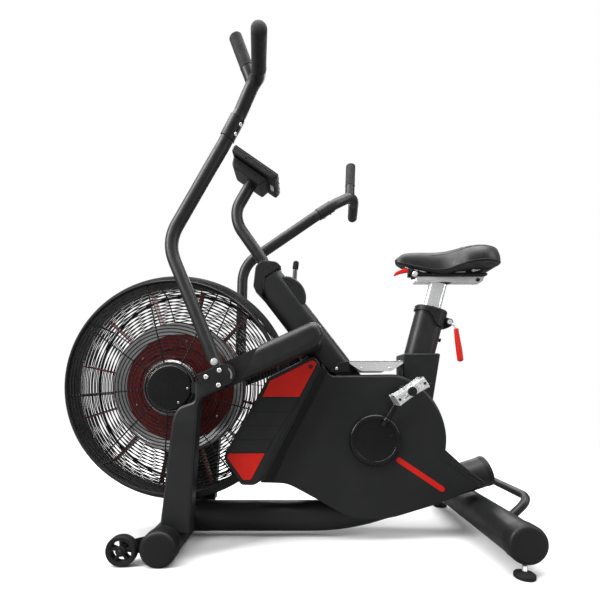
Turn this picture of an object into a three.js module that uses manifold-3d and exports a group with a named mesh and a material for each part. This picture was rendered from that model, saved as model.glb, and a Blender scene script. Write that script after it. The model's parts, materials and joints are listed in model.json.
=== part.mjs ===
// An air bike: an exercise bike whose pedals and swinging arms drive a large bladed fan.
// Units are millimetres. +Z is up, the rider faces -X, and the rider's left is -Y.
// The origin is on the floor, under the middle of the bike's overall length.
import * as THREE from "three";
import { mergeVertices } from "three/addons/utils/BufferGeometryUtils.js";
import Module from "manifold-3d";

const wasm = await Module();
wasm.setup();

// Driving dimensions. X is measured from the MID_X line, which is MID_SHIFT in front of the origin.
const MID_SHIFT = 30.5; // moves the bike so that its overall length is centred on the origin
const GAP = 0.3; // clearance between neighbouring pieces
const TUBE_R = 19; // arm and console mast tubes, 38 mm outside diameter
const FAN = { x: -381, z: 478 }; // fan axle
const CRANK = { x: 235, z: 316 }; // bottom bracket
const CRANK_LENGTH = 170;
const CRANK_ANGLE = 63.4; // degrees above the level, pedal to the rear
const BELT_RATIO = 5;
const CAGE_R = 357;
const CAGE_SIDE_R = 330; // radius where the wire guards meet the rim
const CAGE_HALF = 97; // half width of the cage rim
const GUARD_BULGE = 33; // how far the guards stand out at the middle
const HUB_CAP_R = 68;
const HUB_CAP_FACE = 139;
const BLADES = 12;
const GUARD_RIBS = 9;
const FORK_IN = 145; // fork inner face, from the centre plane
const FORK_OUT = 197;
const ARM_PIVOT = { x: -219.8, y: 177, z: 509.2 };
const ARM_SWING = 24.1; // degrees between the two arms at rest
const FRONT = { x: -375, z: 48, r: 47.5, half: 240 }; // front stabiliser tube
const REAR = { x: 578, z: 82, r: 49, half: 294 }; // rear stabiliser tube
const SHROUD_HALF = 75;
const PANEL_FACE = 118; // outer face of the front vent panels
const WALL = 4; // moulded cover wall
const POST_TOP = { x: -102.7, z: 831.9 }; // front post, centre of the upper end
const POST_LOW = { x: 424.3, z: 145.9 };
const POST_SIZE = { across: 60, along: 104 };
const SEAT_TOP = { x: 429.4, z: 722 }; // seat tube, centre of the upper end
const SEAT_LOW = { x: 318, z: 296 };
const SEAT_SIZE = { across: 66, along: 96 };
const SEAT_POST = { across: 30, along: 59, drop: 300 };
const ROUND = 14; // facets round a small tube
const LARGE = 40; // facets round a large ring

// ---------- solids and booleans ----------

function solid(geometry) {
  const bare = geometry.index ? geometry.toNonIndexed() : geometry.clone();
  bare.deleteAttribute("normal");
  bare.deleteAttribute("uv");
  const merged = mergeVertices(bare, 1e-3);
  const faces = new Uint32Array(merged.index.array);
  const points = merged.attributes.position.array;
  const made = new wasm.Manifold(new wasm.Mesh({ numProp: 3, vertProperties: points, triVerts: faces }));
  if (made.volume() >= 0) return made;
  const turned = faces.slice();
  for (let i = 0; i < turned.length; i += 3) {
    turned[i + 1] = faces[i + 2];
    turned[i + 2] = faces[i + 1];
  }
  return new wasm.Manifold(new wasm.Mesh({ numProp: 3, vertProperties: points, triVerts: turned }));
}

function geometryOf(made) {
  const mesh = made.getMesh();
  const points = new Float32Array(mesh.numVert * 3);
  for (let i = 0; i < mesh.numVert; i++) {
    points.set(mesh.vertProperties.subarray(i * mesh.numProp, i * mesh.numProp + 3), i * 3);
  }
  const geometry = new THREE.BufferGeometry();
  geometry.setAttribute("position", new THREE.BufferAttribute(points, 3));
  geometry.setIndex(new THREE.BufferAttribute(mesh.triVerts, 1));
  geometry.computeVertexNormals();
  return geometry;
}

const join = (...parts) => parts.reduce((sum, part) => sum.add(part));
const cut = (base, ...tools) => tools.reduce((left, tool) => left.subtract(tool), base);
const mirrorY = (geometry) => geometry.clone().scale(1, -1, 1);
const mirrored = (made) => solid(mirrorY(geometryOf(made)));

// ---------- plain shapes ----------

const rad = THREE.MathUtils.degToRad;
const at = (x, y, z) => new THREE.Vector3(x, y, z);

function block(low, high) {
  const size = [0, 1, 2].map((i) => high[i] - low[i]);
  const middle = [0, 1, 2].map((i) => (high[i] + low[i]) / 2);
  return solid(new THREE.BoxGeometry(...size).translate(...middle));
}

// A cylinder along Y, round the point (x, z).
function drum(x, z, radius, yLow, yHigh, facets = ROUND) {
  const geometry = new THREE.CylinderGeometry(radius, radius, yHigh - yLow, facets);
  return solid(geometry.translate(x, (yLow + yHigh) / 2, z));
}

// A closed profile of [radius, y] pairs turned about the Y axis through (x, z).
function turned(x, z, profile, facets = LARGE) {
  const outline = profile.map(([r, y]) => new THREE.Vector2(r, y));
  if (profile[0][0] > 0) outline.push(outline[0].clone());
  return solid(new THREE.LatheGeometry(outline, facets).translate(x, 0, z));
}

function ring(x, z, inner, outer, yLow, yHigh, facets = LARGE) {
  return turned(x, z, [[inner, yLow], [outer, yLow], [outer, yHigh], [inner, yHigh]], facets);
}

// A side outline of [x, z] pairs, or a Shape in x and z, made solid from yLow to yHigh.
function slab(outline, yLow, yHigh, curveSegments = 6) {
  const drawn = outline instanceof THREE.Shape;
  const shape = drawn ? outline : new THREE.Shape(outline.map(([x, z]) => new THREE.Vector2(x, z)));
  const depth = yHigh - yLow;
  const geometry = new THREE.ExtrudeGeometry(shape, { depth, bevelEnabled: false, curveSegments });
  return solid(geometry.rotateX(Math.PI / 2).translate(0, yHigh, 0));
}

// The outline moved inwards by a distance, for the inside of a moulded cover.
function inset(outline, distance) {
  const area = outline.reduce((sum, [x, z], i) => {
    const [nx, nz] = outline[(i + 1) % outline.length];
    return sum + x * nz - nx * z;
  }, 0);
  const side = Math.sign(area);
  return outline.map(([x, z], i) => {
    const [px, pz] = outline[(i + outline.length - 1) % outline.length];
    const [nx, nz] = outline[(i + 1) % outline.length];
    const before = new THREE.Vector2(x - px, z - pz).normalize();
    const after = new THREE.Vector2(nx - x, nz - z).normalize();
    const inward = new THREE.Vector2(-(before.y + after.y), before.x + after.x).normalize();
    const reach = distance / Math.max(0.3, inward.dot(new THREE.Vector2(-after.y, after.x)));
    return [x + side * inward.x * reach, z + side * inward.y * reach];
  });
}

// A circle or ellipse as a Shape: across is the size along Y, along is the size in the side plane.
function oval(across, along) {
  const shape = new THREE.Shape();
  shape.absellipse(0, 0, across / 2, along / 2, 0, 2 * Math.PI);
  return shape;
}

// A flat-sided tube section with half-round ends.
function stadium(across, along) {
  const r = across / 2;
  const straight = Math.max(0.01, along / 2 - r);
  const shape = new THREE.Shape();
  shape.moveTo(r, -straight);
  shape.lineTo(r, straight);
  shape.absarc(0, straight, r, 0, Math.PI);
  shape.lineTo(-r, -straight);
  shape.absarc(0, -straight, r, Math.PI, 2 * Math.PI);
  return shape;
}

// A path through points whose corners are rounded by arcs, sampled only where it bends.
class BentPath extends THREE.Curve {
  constructor(points, bend, arcSteps) {
    super();
    this.stations = [];
    points.forEach((point, i) => {
      if (i === 0 || i === points.length - 1) {
        this.stations.push(point);
        return;
      }
      const back = points[i - 1].clone().sub(point);
      const ahead = points[i + 1].clone().sub(point);
      const reach = Math.min(bend, back.length() * 0.49, ahead.length() * 0.49);
      const from = point.clone().add(back.setLength(reach));
      const to = point.clone().add(ahead.setLength(reach));
      const corner = new THREE.QuadraticBezierCurve3(from, point, to);
      this.stations.push(...corner.getPoints(arcSteps));
    });
    this.steps = this.stations.length - 1;
  }
  getPointAt(u) {
    return this.stations[Math.round(u * this.steps)].clone();
  }
  getPoint(t) {
    return this.getPointAt(t);
  }
  getTangentAt(u) {
    const i = Math.round(u * this.steps);
    const before = this.stations[Math.max(0, i - 1)];
    const after = this.stations[Math.min(this.steps, i + 1)];
    return after.clone().sub(before).normalize();
  }
}

// A section swept along a bent path.
function sweep(shape, points, { bend = 60, arcSteps = 6, facets = ROUND } = {}) {
  const path = new BentPath(points, bend, arcSteps);
  return solid(new THREE.ExtrudeGeometry(shape, {
    steps: path.steps,
    extrudePath: path,
    curveSegments: facets / 2, // an ellipse gets two points for each
  }));
}

const pipe = (points, radius, options) => sweep(oval(2 * radius, 2 * radius), points, options);

// ---------- materials and the scene graph ----------

const paint = (color, roughness, metalness = 0) => ({ color, roughness, metalness });
const LOOKS = {
  coat: paint(0x2a2b2d, 0.45, 0.3),
  plastic: paint(0x1d1e20, 0.5),
  rubber: paint(0x141414, 0.85),
  grip: paint(0x3a3b3d, 0.75),
  red: paint(0xb3201a, 0.4),
  maroon: paint(0x6a1210, 0.45, 0.2),
  silver: paint(0xc9cbcd, 0.25, 1),
  wire: paint(0x111213, 0.4, 0.6),
  screen: paint(0x0a0b0d, 0.1),
};

const bike = new THREE.Group();
const frameGroup = new THREE.Group();
frameGroup.position.x = MID_SHIFT;
bike.add(frameGroup);

function piece(name, made, look, parent = frameGroup) {
  const mesh = new THREE.Mesh(geometryOf(made), new THREE.MeshStandardMaterial(LOOKS[look]));
  mesh.name = name;
  parent.add(mesh);
  return mesh;
}

// The same solid on the rider's left, as it is modelled, and mirrored on the rider's right.
function pair(name, made, look) {
  piece("left_" + name, made, look);
  piece("right_" + name, mirrored(made), look);
}

// ---------- main frame ----------

const MAIN_TUBE_R = 48.5;
const MAIN_TUBE = [at(-345, 0, 60), at(150, 0, 60), at(600, 0, 203)];
const SHELL_R = 30;

const postTop = at(POST_TOP.x, 0, POST_TOP.z);
const postFoot = at(POST_LOW.x, 0, POST_LOW.z);
const seatTop = at(SEAT_TOP.x, 0, SEAT_TOP.z);
const seatFoot = at(SEAT_LOW.x, 0, SEAT_LOW.z);

function framework(grow) {
  const post = stadium(POST_SIZE.across + 2 * grow, POST_SIZE.along + 2 * grow);
  const seat = stadium(SEAT_SIZE.across + 2 * grow, SEAT_SIZE.along + 2 * grow);
  const postRise = postTop.clone().sub(postFoot).setLength(grow);
  const rise = seatTop.clone().sub(seatFoot).setLength(grow);
  return join(
    pipe(MAIN_TUBE, MAIN_TUBE_R + grow, { bend: 70, arcSteps: 4, facets: 24 }),
    sweep(post, [postTop.clone().add(postRise), postFoot], { facets: 9 }),
    sweep(seat, [seatFoot, seatTop.clone().add(rise)], { facets: 8 }),
    drum(CRANK.x, CRANK.z, SHELL_R + grow, -50 - grow, 50 + grow),
  );
}

const seatAxis = seatTop.clone().sub(seatFoot).normalize();
const alongSeatTube = (distance) => seatTop.clone().addScaledVector(seatAxis, distance);
const AXLE_R = 12;

const seatBore = sweep(stadium(SEAT_POST.across + 1, SEAT_POST.along + 1), [
  alongSeatTube(-SEAT_POST.drop - 40),
  alongSeatTube(40),
], { facets: 6 });
const frontTube = (radius, half) => drum(FRONT.x, FRONT.z, radius, -half, half, 24);
const rearTube = (radius, half) => drum(REAR.x, REAR.z, radius, -half, half, 24);
piece(
  "main_frame",
  cut(
    join(framework(0), block([FRONT.x + 12, -40, 90], [-300, 40, 104])),
    seatBore,
    frontTube(FRONT.r + GAP, 60),
    rearTube(REAR.r + GAP, 60),
    drum(CRANK.x, CRANK.z, AXLE_R + 3 * GAP, -60, 60),
  ),
  "coat",
);

// ---------- stabilisers, end caps, wheels and feet ----------

const CAP_WALL = 5;
const CAP_DEPTH = 26;
const WHEEL = { x: -475, z: 42, r: 41.5, y: 235, half: 13, axle: 6 };
const FOOT = { x: 569, y: 300, r: 26, stud: 6 };

const BRACKET_Y = 212;
const bracketPlate = [
  [FRONT.x - 20, 30],
  [FRONT.x - 20, 66],
  [WHEEL.x - 10, 54],
  [WHEEL.x - 10, 30],
];
const leftBracket = join(
  slab(bracketPlate, -BRACKET_Y - 3, -BRACKET_Y + 3),
  drum(WHEEL.x, WHEEL.z, WHEEL.axle, -WHEEL.y - WHEEL.half - 1, -BRACKET_Y + 2, 12),
);
piece(
  "front_stabiliser",
  join(frontTube(FRONT.r, FRONT.half), leftBracket, mirrored(leftBracket)),
  "coat",
);
piece("rear_stabiliser", rearTube(REAR.r, REAR.half), "coat");

// A cup over a stabiliser's end, with a flat underside where it stands on the floor.
function endCap(tube, flatZ) {
  const inner = tube.r + GAP;
  const outer = inner + 2.2;
  const y0 = tube.half - CAP_DEPTH;
  const y1 = tube.half + GAP;
  const profile = [
    [inner, y0],
    [outer, y0],
    [outer, y1 + 8],
    [outer - 8, y1 + 15],
    [0, y1 + 15],
    [0, y1],
    [inner, y1],
  ];
  const outline = profile.map(([r, y]) => new THREE.Vector2(r, y));
  outline.push(outline[0].clone());
  const cup = solid(new THREE.LatheGeometry(outline, 24).translate(tube.x, 0, tube.z));
  return cut(cup, block([tube.x - 80, 0, flatZ - 60], [tube.x + 80, 400, flatZ]));
}
const wheelSlot = block([WHEEL.x - 60, 200, 0], [FRONT.x - 20 + 3, 216, 80]);
const frontCap = mirrored(cut(endCap(FRONT, 0), wheelSlot));
pair("front_end_cap", frontCap, "plastic");
const rearCap = mirrored(endCap(REAR, REAR.z - REAR.r));
pair("rear_end_cap", rearCap, "plastic");

function upright(radius, z0, z1, facets) {
  const post = new THREE.CylinderGeometry(radius, radius, z1 - z0, facets).rotateX(Math.PI / 2);
  return solid(post.translate(FOOT.x, -FOOT.y, (z0 + z1) / 2));
}
const foot = join(upright(FOOT.r, 0, 12, 24), upright(FOOT.stud, 11, 30, 12));
pair("levelling_foot", foot, "rubber");

function transportWheel() {
  const rim = ring(0, 0, 29, WHEEL.r, -WHEEL.half, WHEEL.half, 20);
  const hub = ring(0, 0, WHEEL.axle + 0.6, 12, -WHEEL.half, WHEEL.half, 12);
  const spokes = Array.from({ length: 5 }, (_, i) => {
    const bar = new THREE.BoxGeometry(20, 12, 9).translate(20.5, 0, 0);
    return solid(bar.rotateY(rad(72 * i + 18)));
  });
  return join(rim, hub, ...spokes);
}
const moved = (made, x, y, z) => solid(geometryOf(made).translate(x, y, z));
pair("transport_wheel", moved(transportWheel(), WHEEL.x, -WHEEL.y, WHEEL.z), "plastic");

// Folded pull handle at the back, and the moulded cap that closes the main tube.
const HANDLE_Y = 160;
piece(
  "pull_handle",
  cut(
    pipe(
      [at(596, -HANDLE_Y, 96), at(665, -HANDLE_Y, 160), at(665, HANDLE_Y, 160), at(596, HANDLE_Y, 96)],
      12,
      { bend: 36, arcSteps: 4, facets: 12 },
    ),
    rearTube(REAR.r + GAP, 260),
  ),
  "coat",
);
const capAxis = at(450, 0, 143).normalize();
const capStart = at(600, 0, 203).addScaledVector(capAxis, GAP);
const capEnd = capStart.clone().addScaledVector(capAxis, 16);
piece("frame_end_cap", pipe([capStart, capEnd], MAIN_TUBE_R + 1, { facets: 24 }), "plastic");

// ---------- fork legs ----------

const FORK_TOP_R = 36;
const forkRise = Math.tan(rad(23.5));

// Side outline of one fork: a leg up from the front stabiliser and a boom rising to the rear.
function forkOutline() {
  const shape = new THREE.Shape();
  shape.moveTo(-391, 70);
  shape.lineTo(-356, 376);
  shape.quadraticCurveTo(-350, 420, -326, 428);
  shape.lineTo(-300, 437);
  shape.quadraticCurveTo(-292, 441, -292, 450);
  shape.lineTo(-292, 494);
  shape.quadraticCurveTo(-290, 518, -262, 530);
  shape.lineTo(30, 526 + 316 * forkRise);
  shape.quadraticCurveTo(62, 668, 70, 630);
  shape.quadraticCurveTo(66, 596, 30, 580);
  shape.lineTo(-270, 580 - 300 * forkRise);
  shape.quadraticCurveTo(-283, 440, -284, 388);
  shape.lineTo(-307, 70);
  return shape;
}
const slotOutline = [
  [-262, 478], [-170, 478], [-92, 640], [-92, 760], [-400, 760], [-400, 560],
];
const armSlot = slab(slotOutline, -FORK_OUT - 1, -154.5);
const hubBracket = cut(
  block([FAN.x + HUB_CAP_R - 4, -FORK_IN - 2, FAN.z - 16], [-270, 12 - FORK_IN, FAN.z + 16]),
  drum(FAN.x, FAN.z, HUB_CAP_R + GAP, -FORK_IN - 5, -100, LARGE),
);
const forkTie = slab([[-20, 600], [52, 632], [70, 600], [10, 572]], -FORK_IN - 2, -30.5);
const legBlank = slab(forkOutline(), -FORK_OUT, -FORK_IN);
const PIVOT_PIN_R = 9;
const pivotPin = drum(ARM_PIVOT.x, ARM_PIVOT.z, PIVOT_PIN_R, -FORK_OUT + 0.5, -150);
const fork = cut(
  join(cut(legBlank, armSlot), hubBracket, forkTie, pivotPin),
  frontTube(FRONT.r + GAP, 260),
  sweep(stadium(POST_SIZE.across + 2 * GAP, POST_SIZE.along + 2 * GAP), [postTop, postFoot], { facets: 9 }),
);
pair("fork", fork, "coat");

// Cover over the arm's pivot, with a round rear end.
function coverOutline() {
  const shape = new THREE.Shape();
  const tilt = rad(23.5);
  const along = (d, up) => [
    ARM_PIVOT.x + d * Math.cos(tilt) - up * Math.sin(tilt),
    ARM_PIVOT.z + d * Math.sin(tilt) + up * Math.cos(tilt),
  ];
  shape.moveTo(...along(-52, -30));
  shape.lineTo(...along(14, -30));
  shape.absarc(...along(14, 0), 30, tilt - Math.PI / 2, tilt + Math.PI / 2);
  shape.lineTo(...along(-52, 30));
  return shape;
}
pair("pivot_cover", slab(coverOutline(), -FORK_OUT - 4, -FORK_OUT - GAP), "plastic");

// ---------- swinging arms ----------

// One arm in its own frame: the pivot is the origin and the arm is in the middle of its swing.
const ARM = {
  bend: at(-74, -162, 410),
  collar: at(156, -175, 657),
  seam: at(200, -183, 704),
  neck: at(259, -212, 765),
  outerEnd: at(292, -372, 763),
  upperEnd: at(239, -225, 885),
};
const GRIP_R = 19.5;
const UPPER_GRIP_R = 18;
const BAR_R = 14; // bars inside the grips

function grip(start, end, radius) {
  const tip = end.clone().add(end.clone().sub(start).setLength(radius * 0.45));
  const shell = pipe([start, end], radius);
  const dome = solid(new THREE.SphereGeometry(radius, 12, 6).translate(end.x, end.y, end.z));
  const past = end.clone().add(end.clone().sub(start).setLength(radius * 2));
  const trim = pipe([tip, past], radius * 1.5);
  const before = start.clone().sub(end.clone().sub(start).setLength(2));
  const bore = pipe([before, end], BAR_R + 0.8, { facets: 8 });
  return cut(join(shell, dome), trim, bore);
}

const collarAxis = ARM.seam.clone().sub(ARM.collar).normalize();
const alongCollar = (base, distance) => base.clone().addScaledVector(collarAxis, distance);
const outerStart = at(280, -258, 765);
const outerAxis = ARM.outerEnd.clone().sub(outerStart).normalize();
const neckOut = outerStart.clone().addScaledVector(outerAxis, -24);
const upperStart = ARM.neck.clone().lerp(ARM.upperEnd, 0.34);
const armPoints = [at(0, -177, 0), ARM.bend, alongCollar(ARM.collar, -18), ARM.collar];
const armEye = drum(0, 0, 24, -194, -160, 20);
const armTube = cut(
  join(pipe(armPoints, TUBE_R, { bend: 60, arcSteps: 6 }), armEye),
  drum(0, 0, PIVOT_PIN_R + 2 * GAP, -200, -150),
);
const collar = pipe([alongCollar(ARM.collar, GAP), ARM.seam], TUBE_R + 2.5);
const stem = [
  alongCollar(ARM.seam, GAP),
  alongCollar(ARM.seam, 14),
  ARM.neck,
  neckOut,
  outerStart,
];
const handleBar = join(
  pipe(stem, TUBE_R, { bend: 34, arcSteps: 4 }),
  pipe([outerStart.clone().addScaledVector(outerAxis, -6), ARM.outerEnd], BAR_R, { facets: 8 }),
  pipe([ARM.neck, upperStart], TUBE_R - 1),
  pipe([upperStart.clone().lerp(ARM.neck, 0.2), ARM.upperEnd], BAR_R, { facets: 8 }),
);
const gripStart = (from, to) => from.clone().add(to.clone().sub(from).setLength(GAP));
const outerTip = ARM.outerEnd.clone().lerp(outerStart, -0.04);
const upperTip = ARM.upperEnd.clone().lerp(upperStart, -0.05);
const outerGrip = grip(gripStart(outerStart, ARM.outerEnd), outerTip, GRIP_R);
const upperGrip = grip(gripStart(upperStart, ARM.upperEnd), upperTip, UPPER_GRIP_R);
const ARM_PIECES = [
  ["arm", armTube, "coat"],
  ["arm_collar", collar, "coat"],
  ["handlebar", handleBar, "coat"],
  ["outer_grip", outerGrip, "grip"],
  ["upper_grip", upperGrip, "grip"],
];
for (const [side, turn] of [["left", -1], ["right", 1]]) {
  const arm = new THREE.Group();
  arm.position.set(ARM_PIVOT.x, 0, ARM_PIVOT.z);
  arm.rotation.y = rad((turn * ARM_SWING) / 2);
  frameGroup.add(arm);
  for (const [name, made, look] of ARM_PIECES) {
    piece(`${side}_${name}`, side === "left" ? made : mirrored(made), look, arm);
  }
}

// ---------- fan and cage ----------

const HUB_R = 40;
const AXLE = 10;
const fanGroup = new THREE.Group();
fanGroup.position.set(FAN.x, 0, FAN.z);
frameGroup.add(fanGroup);

const RIB_START = rad(24.5); // angle of the first radial rib of the guards
const guardY = (r) => CAGE_HALF + GUARD_BULGE * (1 - (r / CAGE_SIDE_R) ** 2);

// The rim: a crowned band in the middle, a ring on each side and cross bars that join them.
const BAND = { y: 60, inner: 343, sideRing: 6 };
const crownR = (y) => CAGE_R - (CAGE_R - CAGE_SIDE_R) * Math.abs(y / CAGE_HALF) ** 2.4;
const bandCrown = [-BAND.y, -30, 0, 30, BAND.y].map((y) => [crownR(y), y]);
const band = turned(0, 0, [[BAND.inner, BAND.y], [BAND.inner, -BAND.y], ...bandCrown], 48);
const sideRing = ring(0, 0, CAGE_SIDE_R - 1, CAGE_SIDE_R + BAND.sideRing, 92, CAGE_HALF, 36);
const crossBars = Array.from({ length: GUARD_RIBS }, (_, i) => {
  const angle = RIB_START + rad((360 / GUARD_RIBS) * i);
  const points = [-95, -78, -50, 50, 78, 95].map((y) => {
    const r = crownR(y) - 4;
    return at(r * Math.cos(angle), y, r * Math.sin(angle));
  });
  return sweep(oval(8, 8), points, { bend: 1, arcSteps: 1, facets: 4 });
});
const beltSlot = block([230, 50, -300], [360, 75, 60]);
const rim = cut(join(band, sideRing, mirrored(sideRing), ...crossBars), beltSlot);
piece("cage_rim", rim, "coat", fanGroup);

// A wire guard: a few of its rings, its radial ribs and the rings that it hangs on.
const GUARD_RINGS = [190];
const WIRE = 5;
function guard() {
  const outer = CAGE_SIDE_R - 4;
  const rings = GUARD_RINGS.map((r) => ring(0, 0, r, r + WIRE, -guardY(r) - 2, -guardY(r) + 3, 27));
  const hubRing = ring(0, 0, HUB_CAP_R + 1, HUB_CAP_R + 9, -guardY(72) - 2, -guardY(72) + 4, 27);
  const rimRing = ring(0, 0, outer - 6, outer, -guardY(outer) - 2, -guardY(outer) + 4, 36);
  const ribs = Array.from({ length: GUARD_RIBS }, (_, i) => {
    const radii = [HUB_CAP_R + 4, 210, outer - 2];
    const angle = RIB_START + rad((360 / GUARD_RIBS) * i);
    const points = radii.map((r) => at(r * Math.cos(angle), -guardY(r) + 0.5, r * Math.sin(angle)));
    return sweep(oval(6, 6), points, { bend: 1, arcSteps: 1, facets: 4 });
  });
  return join(hubRing, rimRing, ...rings, ...ribs);
}
const leftGuard = guard();
piece("left_guard", leftGuard, "wire", fanGroup);
piece("right_guard", mirrored(leftGuard), "wire", fanGroup);

const capBack = guardY(HUB_CAP_R) - 12;
const hubCap = cut(
  turned(0, 0, [
    [0, -capBack],
    [HUB_CAP_R, -capBack],
    [HUB_CAP_R, -HUB_CAP_FACE + 7],
    [HUB_CAP_R - 7, -HUB_CAP_FACE],
    [0, -HUB_CAP_FACE],
  ]),
  drum(0, 0, AXLE + GAP, -capBack - 10, 0),
);
piece("left_hub_cap", hubCap, "plastic", fanGroup);
piece("right_hub_cap", mirrored(hubCap), "plastic", fanGroup);
piece("fan_axle", drum(0, 0, AXLE, -capBack - 9, capBack + 9), "silver", fanGroup);

const BLADE = { inner: 200, outer: 318, yLow: -28, yHigh: 18, thick: 3 };
const DISC = { r: 172, flange: 197, ring: 206, y: -29 };
function fanWheel() {
  const dish = turned(0, 0, [
    [HUB_R - 2, DISC.y],
    [DISC.r, DISC.y],
    [DISC.flange, DISC.y - 18],
    [DISC.ring, DISC.y - 18],
    [DISC.ring, BLADE.yHigh],
    [DISC.ring - 4, BLADE.yHigh],
    [DISC.ring - 4, DISC.y - 14],
    [DISC.flange + 1, DISC.y - 14],
    [DISC.r + 1, DISC.y + 4],
    [HUB_R - 2, DISC.y + 4],
  ], 24);
  const hub = ring(0, 0, AXLE + 2, HUB_R, -75, 52, 16);
  const blades = Array.from({ length: BLADES }, (_, i) => {
    const length = BLADE.outer - BLADE.inner;
    const plate = new THREE.BoxGeometry(length, BLADE.yHigh - BLADE.yLow, BLADE.thick);
    plate.translate(BLADE.inner + length / 2, (BLADE.yHigh + BLADE.yLow) / 2, 0);
    return solid(plate.rotateY(-rad(17.5 + (360 / BLADES) * i)));
  });
  return join(dish, hub, ...blades);
}
piece("fan_wheel", fanWheel(), "maroon", fanGroup);

// The belt drive, on the rider's right: a large crank pulley and a small one on the fan.
const BELT = { yLow: 56, yHigh: 68, thick: 3 };
const FAN_PULLEY_R = 27;
const CRANK_PULLEY_R = FAN_PULLEY_R * BELT_RATIO;
function pulley(radius, bore, facets) {
  return turned(0, 0, [
    [bore, BELT.yLow - 3],
    [radius + 4, BELT.yLow - 3],
    [radius + 4, BELT.yLow - 1],
    [radius, BELT.yLow - 1],
    [radius, BELT.yHigh + 1],
    [radius + 4, BELT.yHigh + 1],
    [radius + 4, BELT.yHigh + 3],
    [bore, BELT.yHigh + 3],
  ], facets);
}
piece("fan_pulley", pulley(FAN_PULLEY_R, AXLE + 2, 24), "silver", fanGroup);

// The belt wraps both pulleys: two arcs joined by their outer tangents.
function beltLoop(grow) {
  const dx = CRANK.x - FAN.x;
  const dz = CRANK.z - FAN.z;
  const span = Math.hypot(dx, dz);
  const line = Math.atan2(dz, dx);
  const tilt = Math.acos((CRANK_PULLEY_R - FAN_PULLEY_R) / span);
  const arc = (centre, radius, from, to, steps) =>
    Array.from({ length: steps + 1 }, (_, i) => {
      const angle = from + ((to - from) * i) / steps;
      return [centre.x + (radius + grow) * Math.cos(angle), centre.z + (radius + grow) * Math.sin(angle)];
    });
  const big = arc(CRANK, CRANK_PULLEY_R, line - (Math.PI - tilt), line + (Math.PI - tilt), 30);
  const small = arc(FAN, FAN_PULLEY_R, line + (Math.PI - tilt), line + Math.PI + tilt, 12);
  return [...big, ...small];
}
const belt = cut(
  slab(beltLoop(GAP + BELT.thick), BELT.yLow, BELT.yHigh),
  slab(beltLoop(GAP + 0.6), BELT.yLow - 1, BELT.yHigh + 1),
);
piece("drive_belt", belt, "rubber");

// ---------- cranks and pedals ----------

const CRANK_ARM = { yIn: -104, yOut: -124, bar: 9.5, cover: 79, coverY: -88 };
const AXLE_END = 84; // half length of the crank axle
const axleGroup = new THREE.Group();
axleGroup.position.set(CRANK.x, 0, CRANK.z);
frameGroup.add(axleGroup);
piece("crank_axle", drum(0, 0, AXLE_R, -AXLE_END, AXLE_END), "silver", axleGroup);
const pulleyHoles = [0, 72, 144, 216, 288].map((degrees) => {
  const spot = at(80 * Math.cos(rad(degrees)), 0, 80 * Math.sin(rad(degrees)));
  return drum(spot.x, spot.z, 26, BELT.yLow - 9, BELT.yHigh + 9, 10);
});
const crankPulley = cut(pulley(CRANK_PULLEY_R, AXLE_R + GAP, 32), ...pulleyHoles);
piece("crank_pulley", crankPulley, "plastic", axleGroup);

const crankRise = rad(CRANK_ANGLE);
const crankTip = at(CRANK_LENGTH * Math.cos(crankRise), 0, CRANK_LENGTH * Math.sin(crankRise));
const PEDAL = { yIn: -134, yOut: -214, axle: 7, tilt: 33 };
function crankArm() {
  const root = crankTip.clone().multiplyScalar(0.28).setY(CRANK_ARM.coverY - 5);
  const bar = pipe([root, crankTip.clone().setY((CRANK_ARM.yIn + CRANK_ARM.yOut) / 2)], CRANK_ARM.bar);
  const cover = drum(0, 0, CRANK_ARM.cover, CRANK_ARM.coverY, -SHROUD_HALF - 1, LARGE);
  const tip = drum(crankTip.x, crankTip.z, 17, CRANK_ARM.yOut, CRANK_ARM.yIn, 20);
  const spindle = drum(crankTip.x, crankTip.z, PEDAL.axle, PEDAL.yOut + 6, CRANK_ARM.yOut + 1, 12);
  return cut(join(bar, cover, tip, spindle), drum(0, 0, AXLE_R + GAP, -AXLE_END - GAP, 0));
}
const arm = crankArm();
const opposite = (made) => solid(geometryOf(made).rotateY(Math.PI).scale(1, -1, 1));
piece("left_crank", arm, "coat", axleGroup);
piece("right_crank", opposite(arm), "coat", axleGroup);

// A cage pedal: a middle barrel, two toothed side plates and end bars.
function pedalBody() {
  const reach = 48;
  const barrel = ring(0, 0, PEDAL.axle + GAP, 15, PEDAL.yOut + 2, PEDAL.yIn, 16);
  const bars = [-1, 1].map((side) =>
    block([side * reach - 3, PEDAL.yOut, -16], [side * reach + 3, PEDAL.yIn - 2, 16]));
  const middle = (PEDAL.yIn + PEDAL.yOut) / 2;
  const rungs = [PEDAL.yIn - 14, middle, PEDAL.yOut + 12].map((y) =>
    block([-reach, y - 5, -9], [reach, y + 5, 9]));
  const spindleRoom = drum(0, 0, PEDAL.axle + 2 * GAP, PEDAL.yOut - 5, PEDAL.yIn + 5, 16);
  return cut(join(barrel, ...bars, ...rungs), spindleRoom);
}
const flatPedal = pedalBody();
const pedalSpots = [
  ["left_pedal", flatPedal, crankTip, -PEDAL.tilt],
  ["right_pedal", mirrored(flatPedal), crankTip.clone().negate(), -PEDAL.tilt],
];
for (const [name, made, spot, tilt] of pedalSpots) {
  const mesh = piece(name, made, "silver", axleGroup);
  mesh.position.set(spot.x, 0, spot.z);
  mesh.rotation.y = rad(tilt);
}

// ---------- moulded covers ----------

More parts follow.
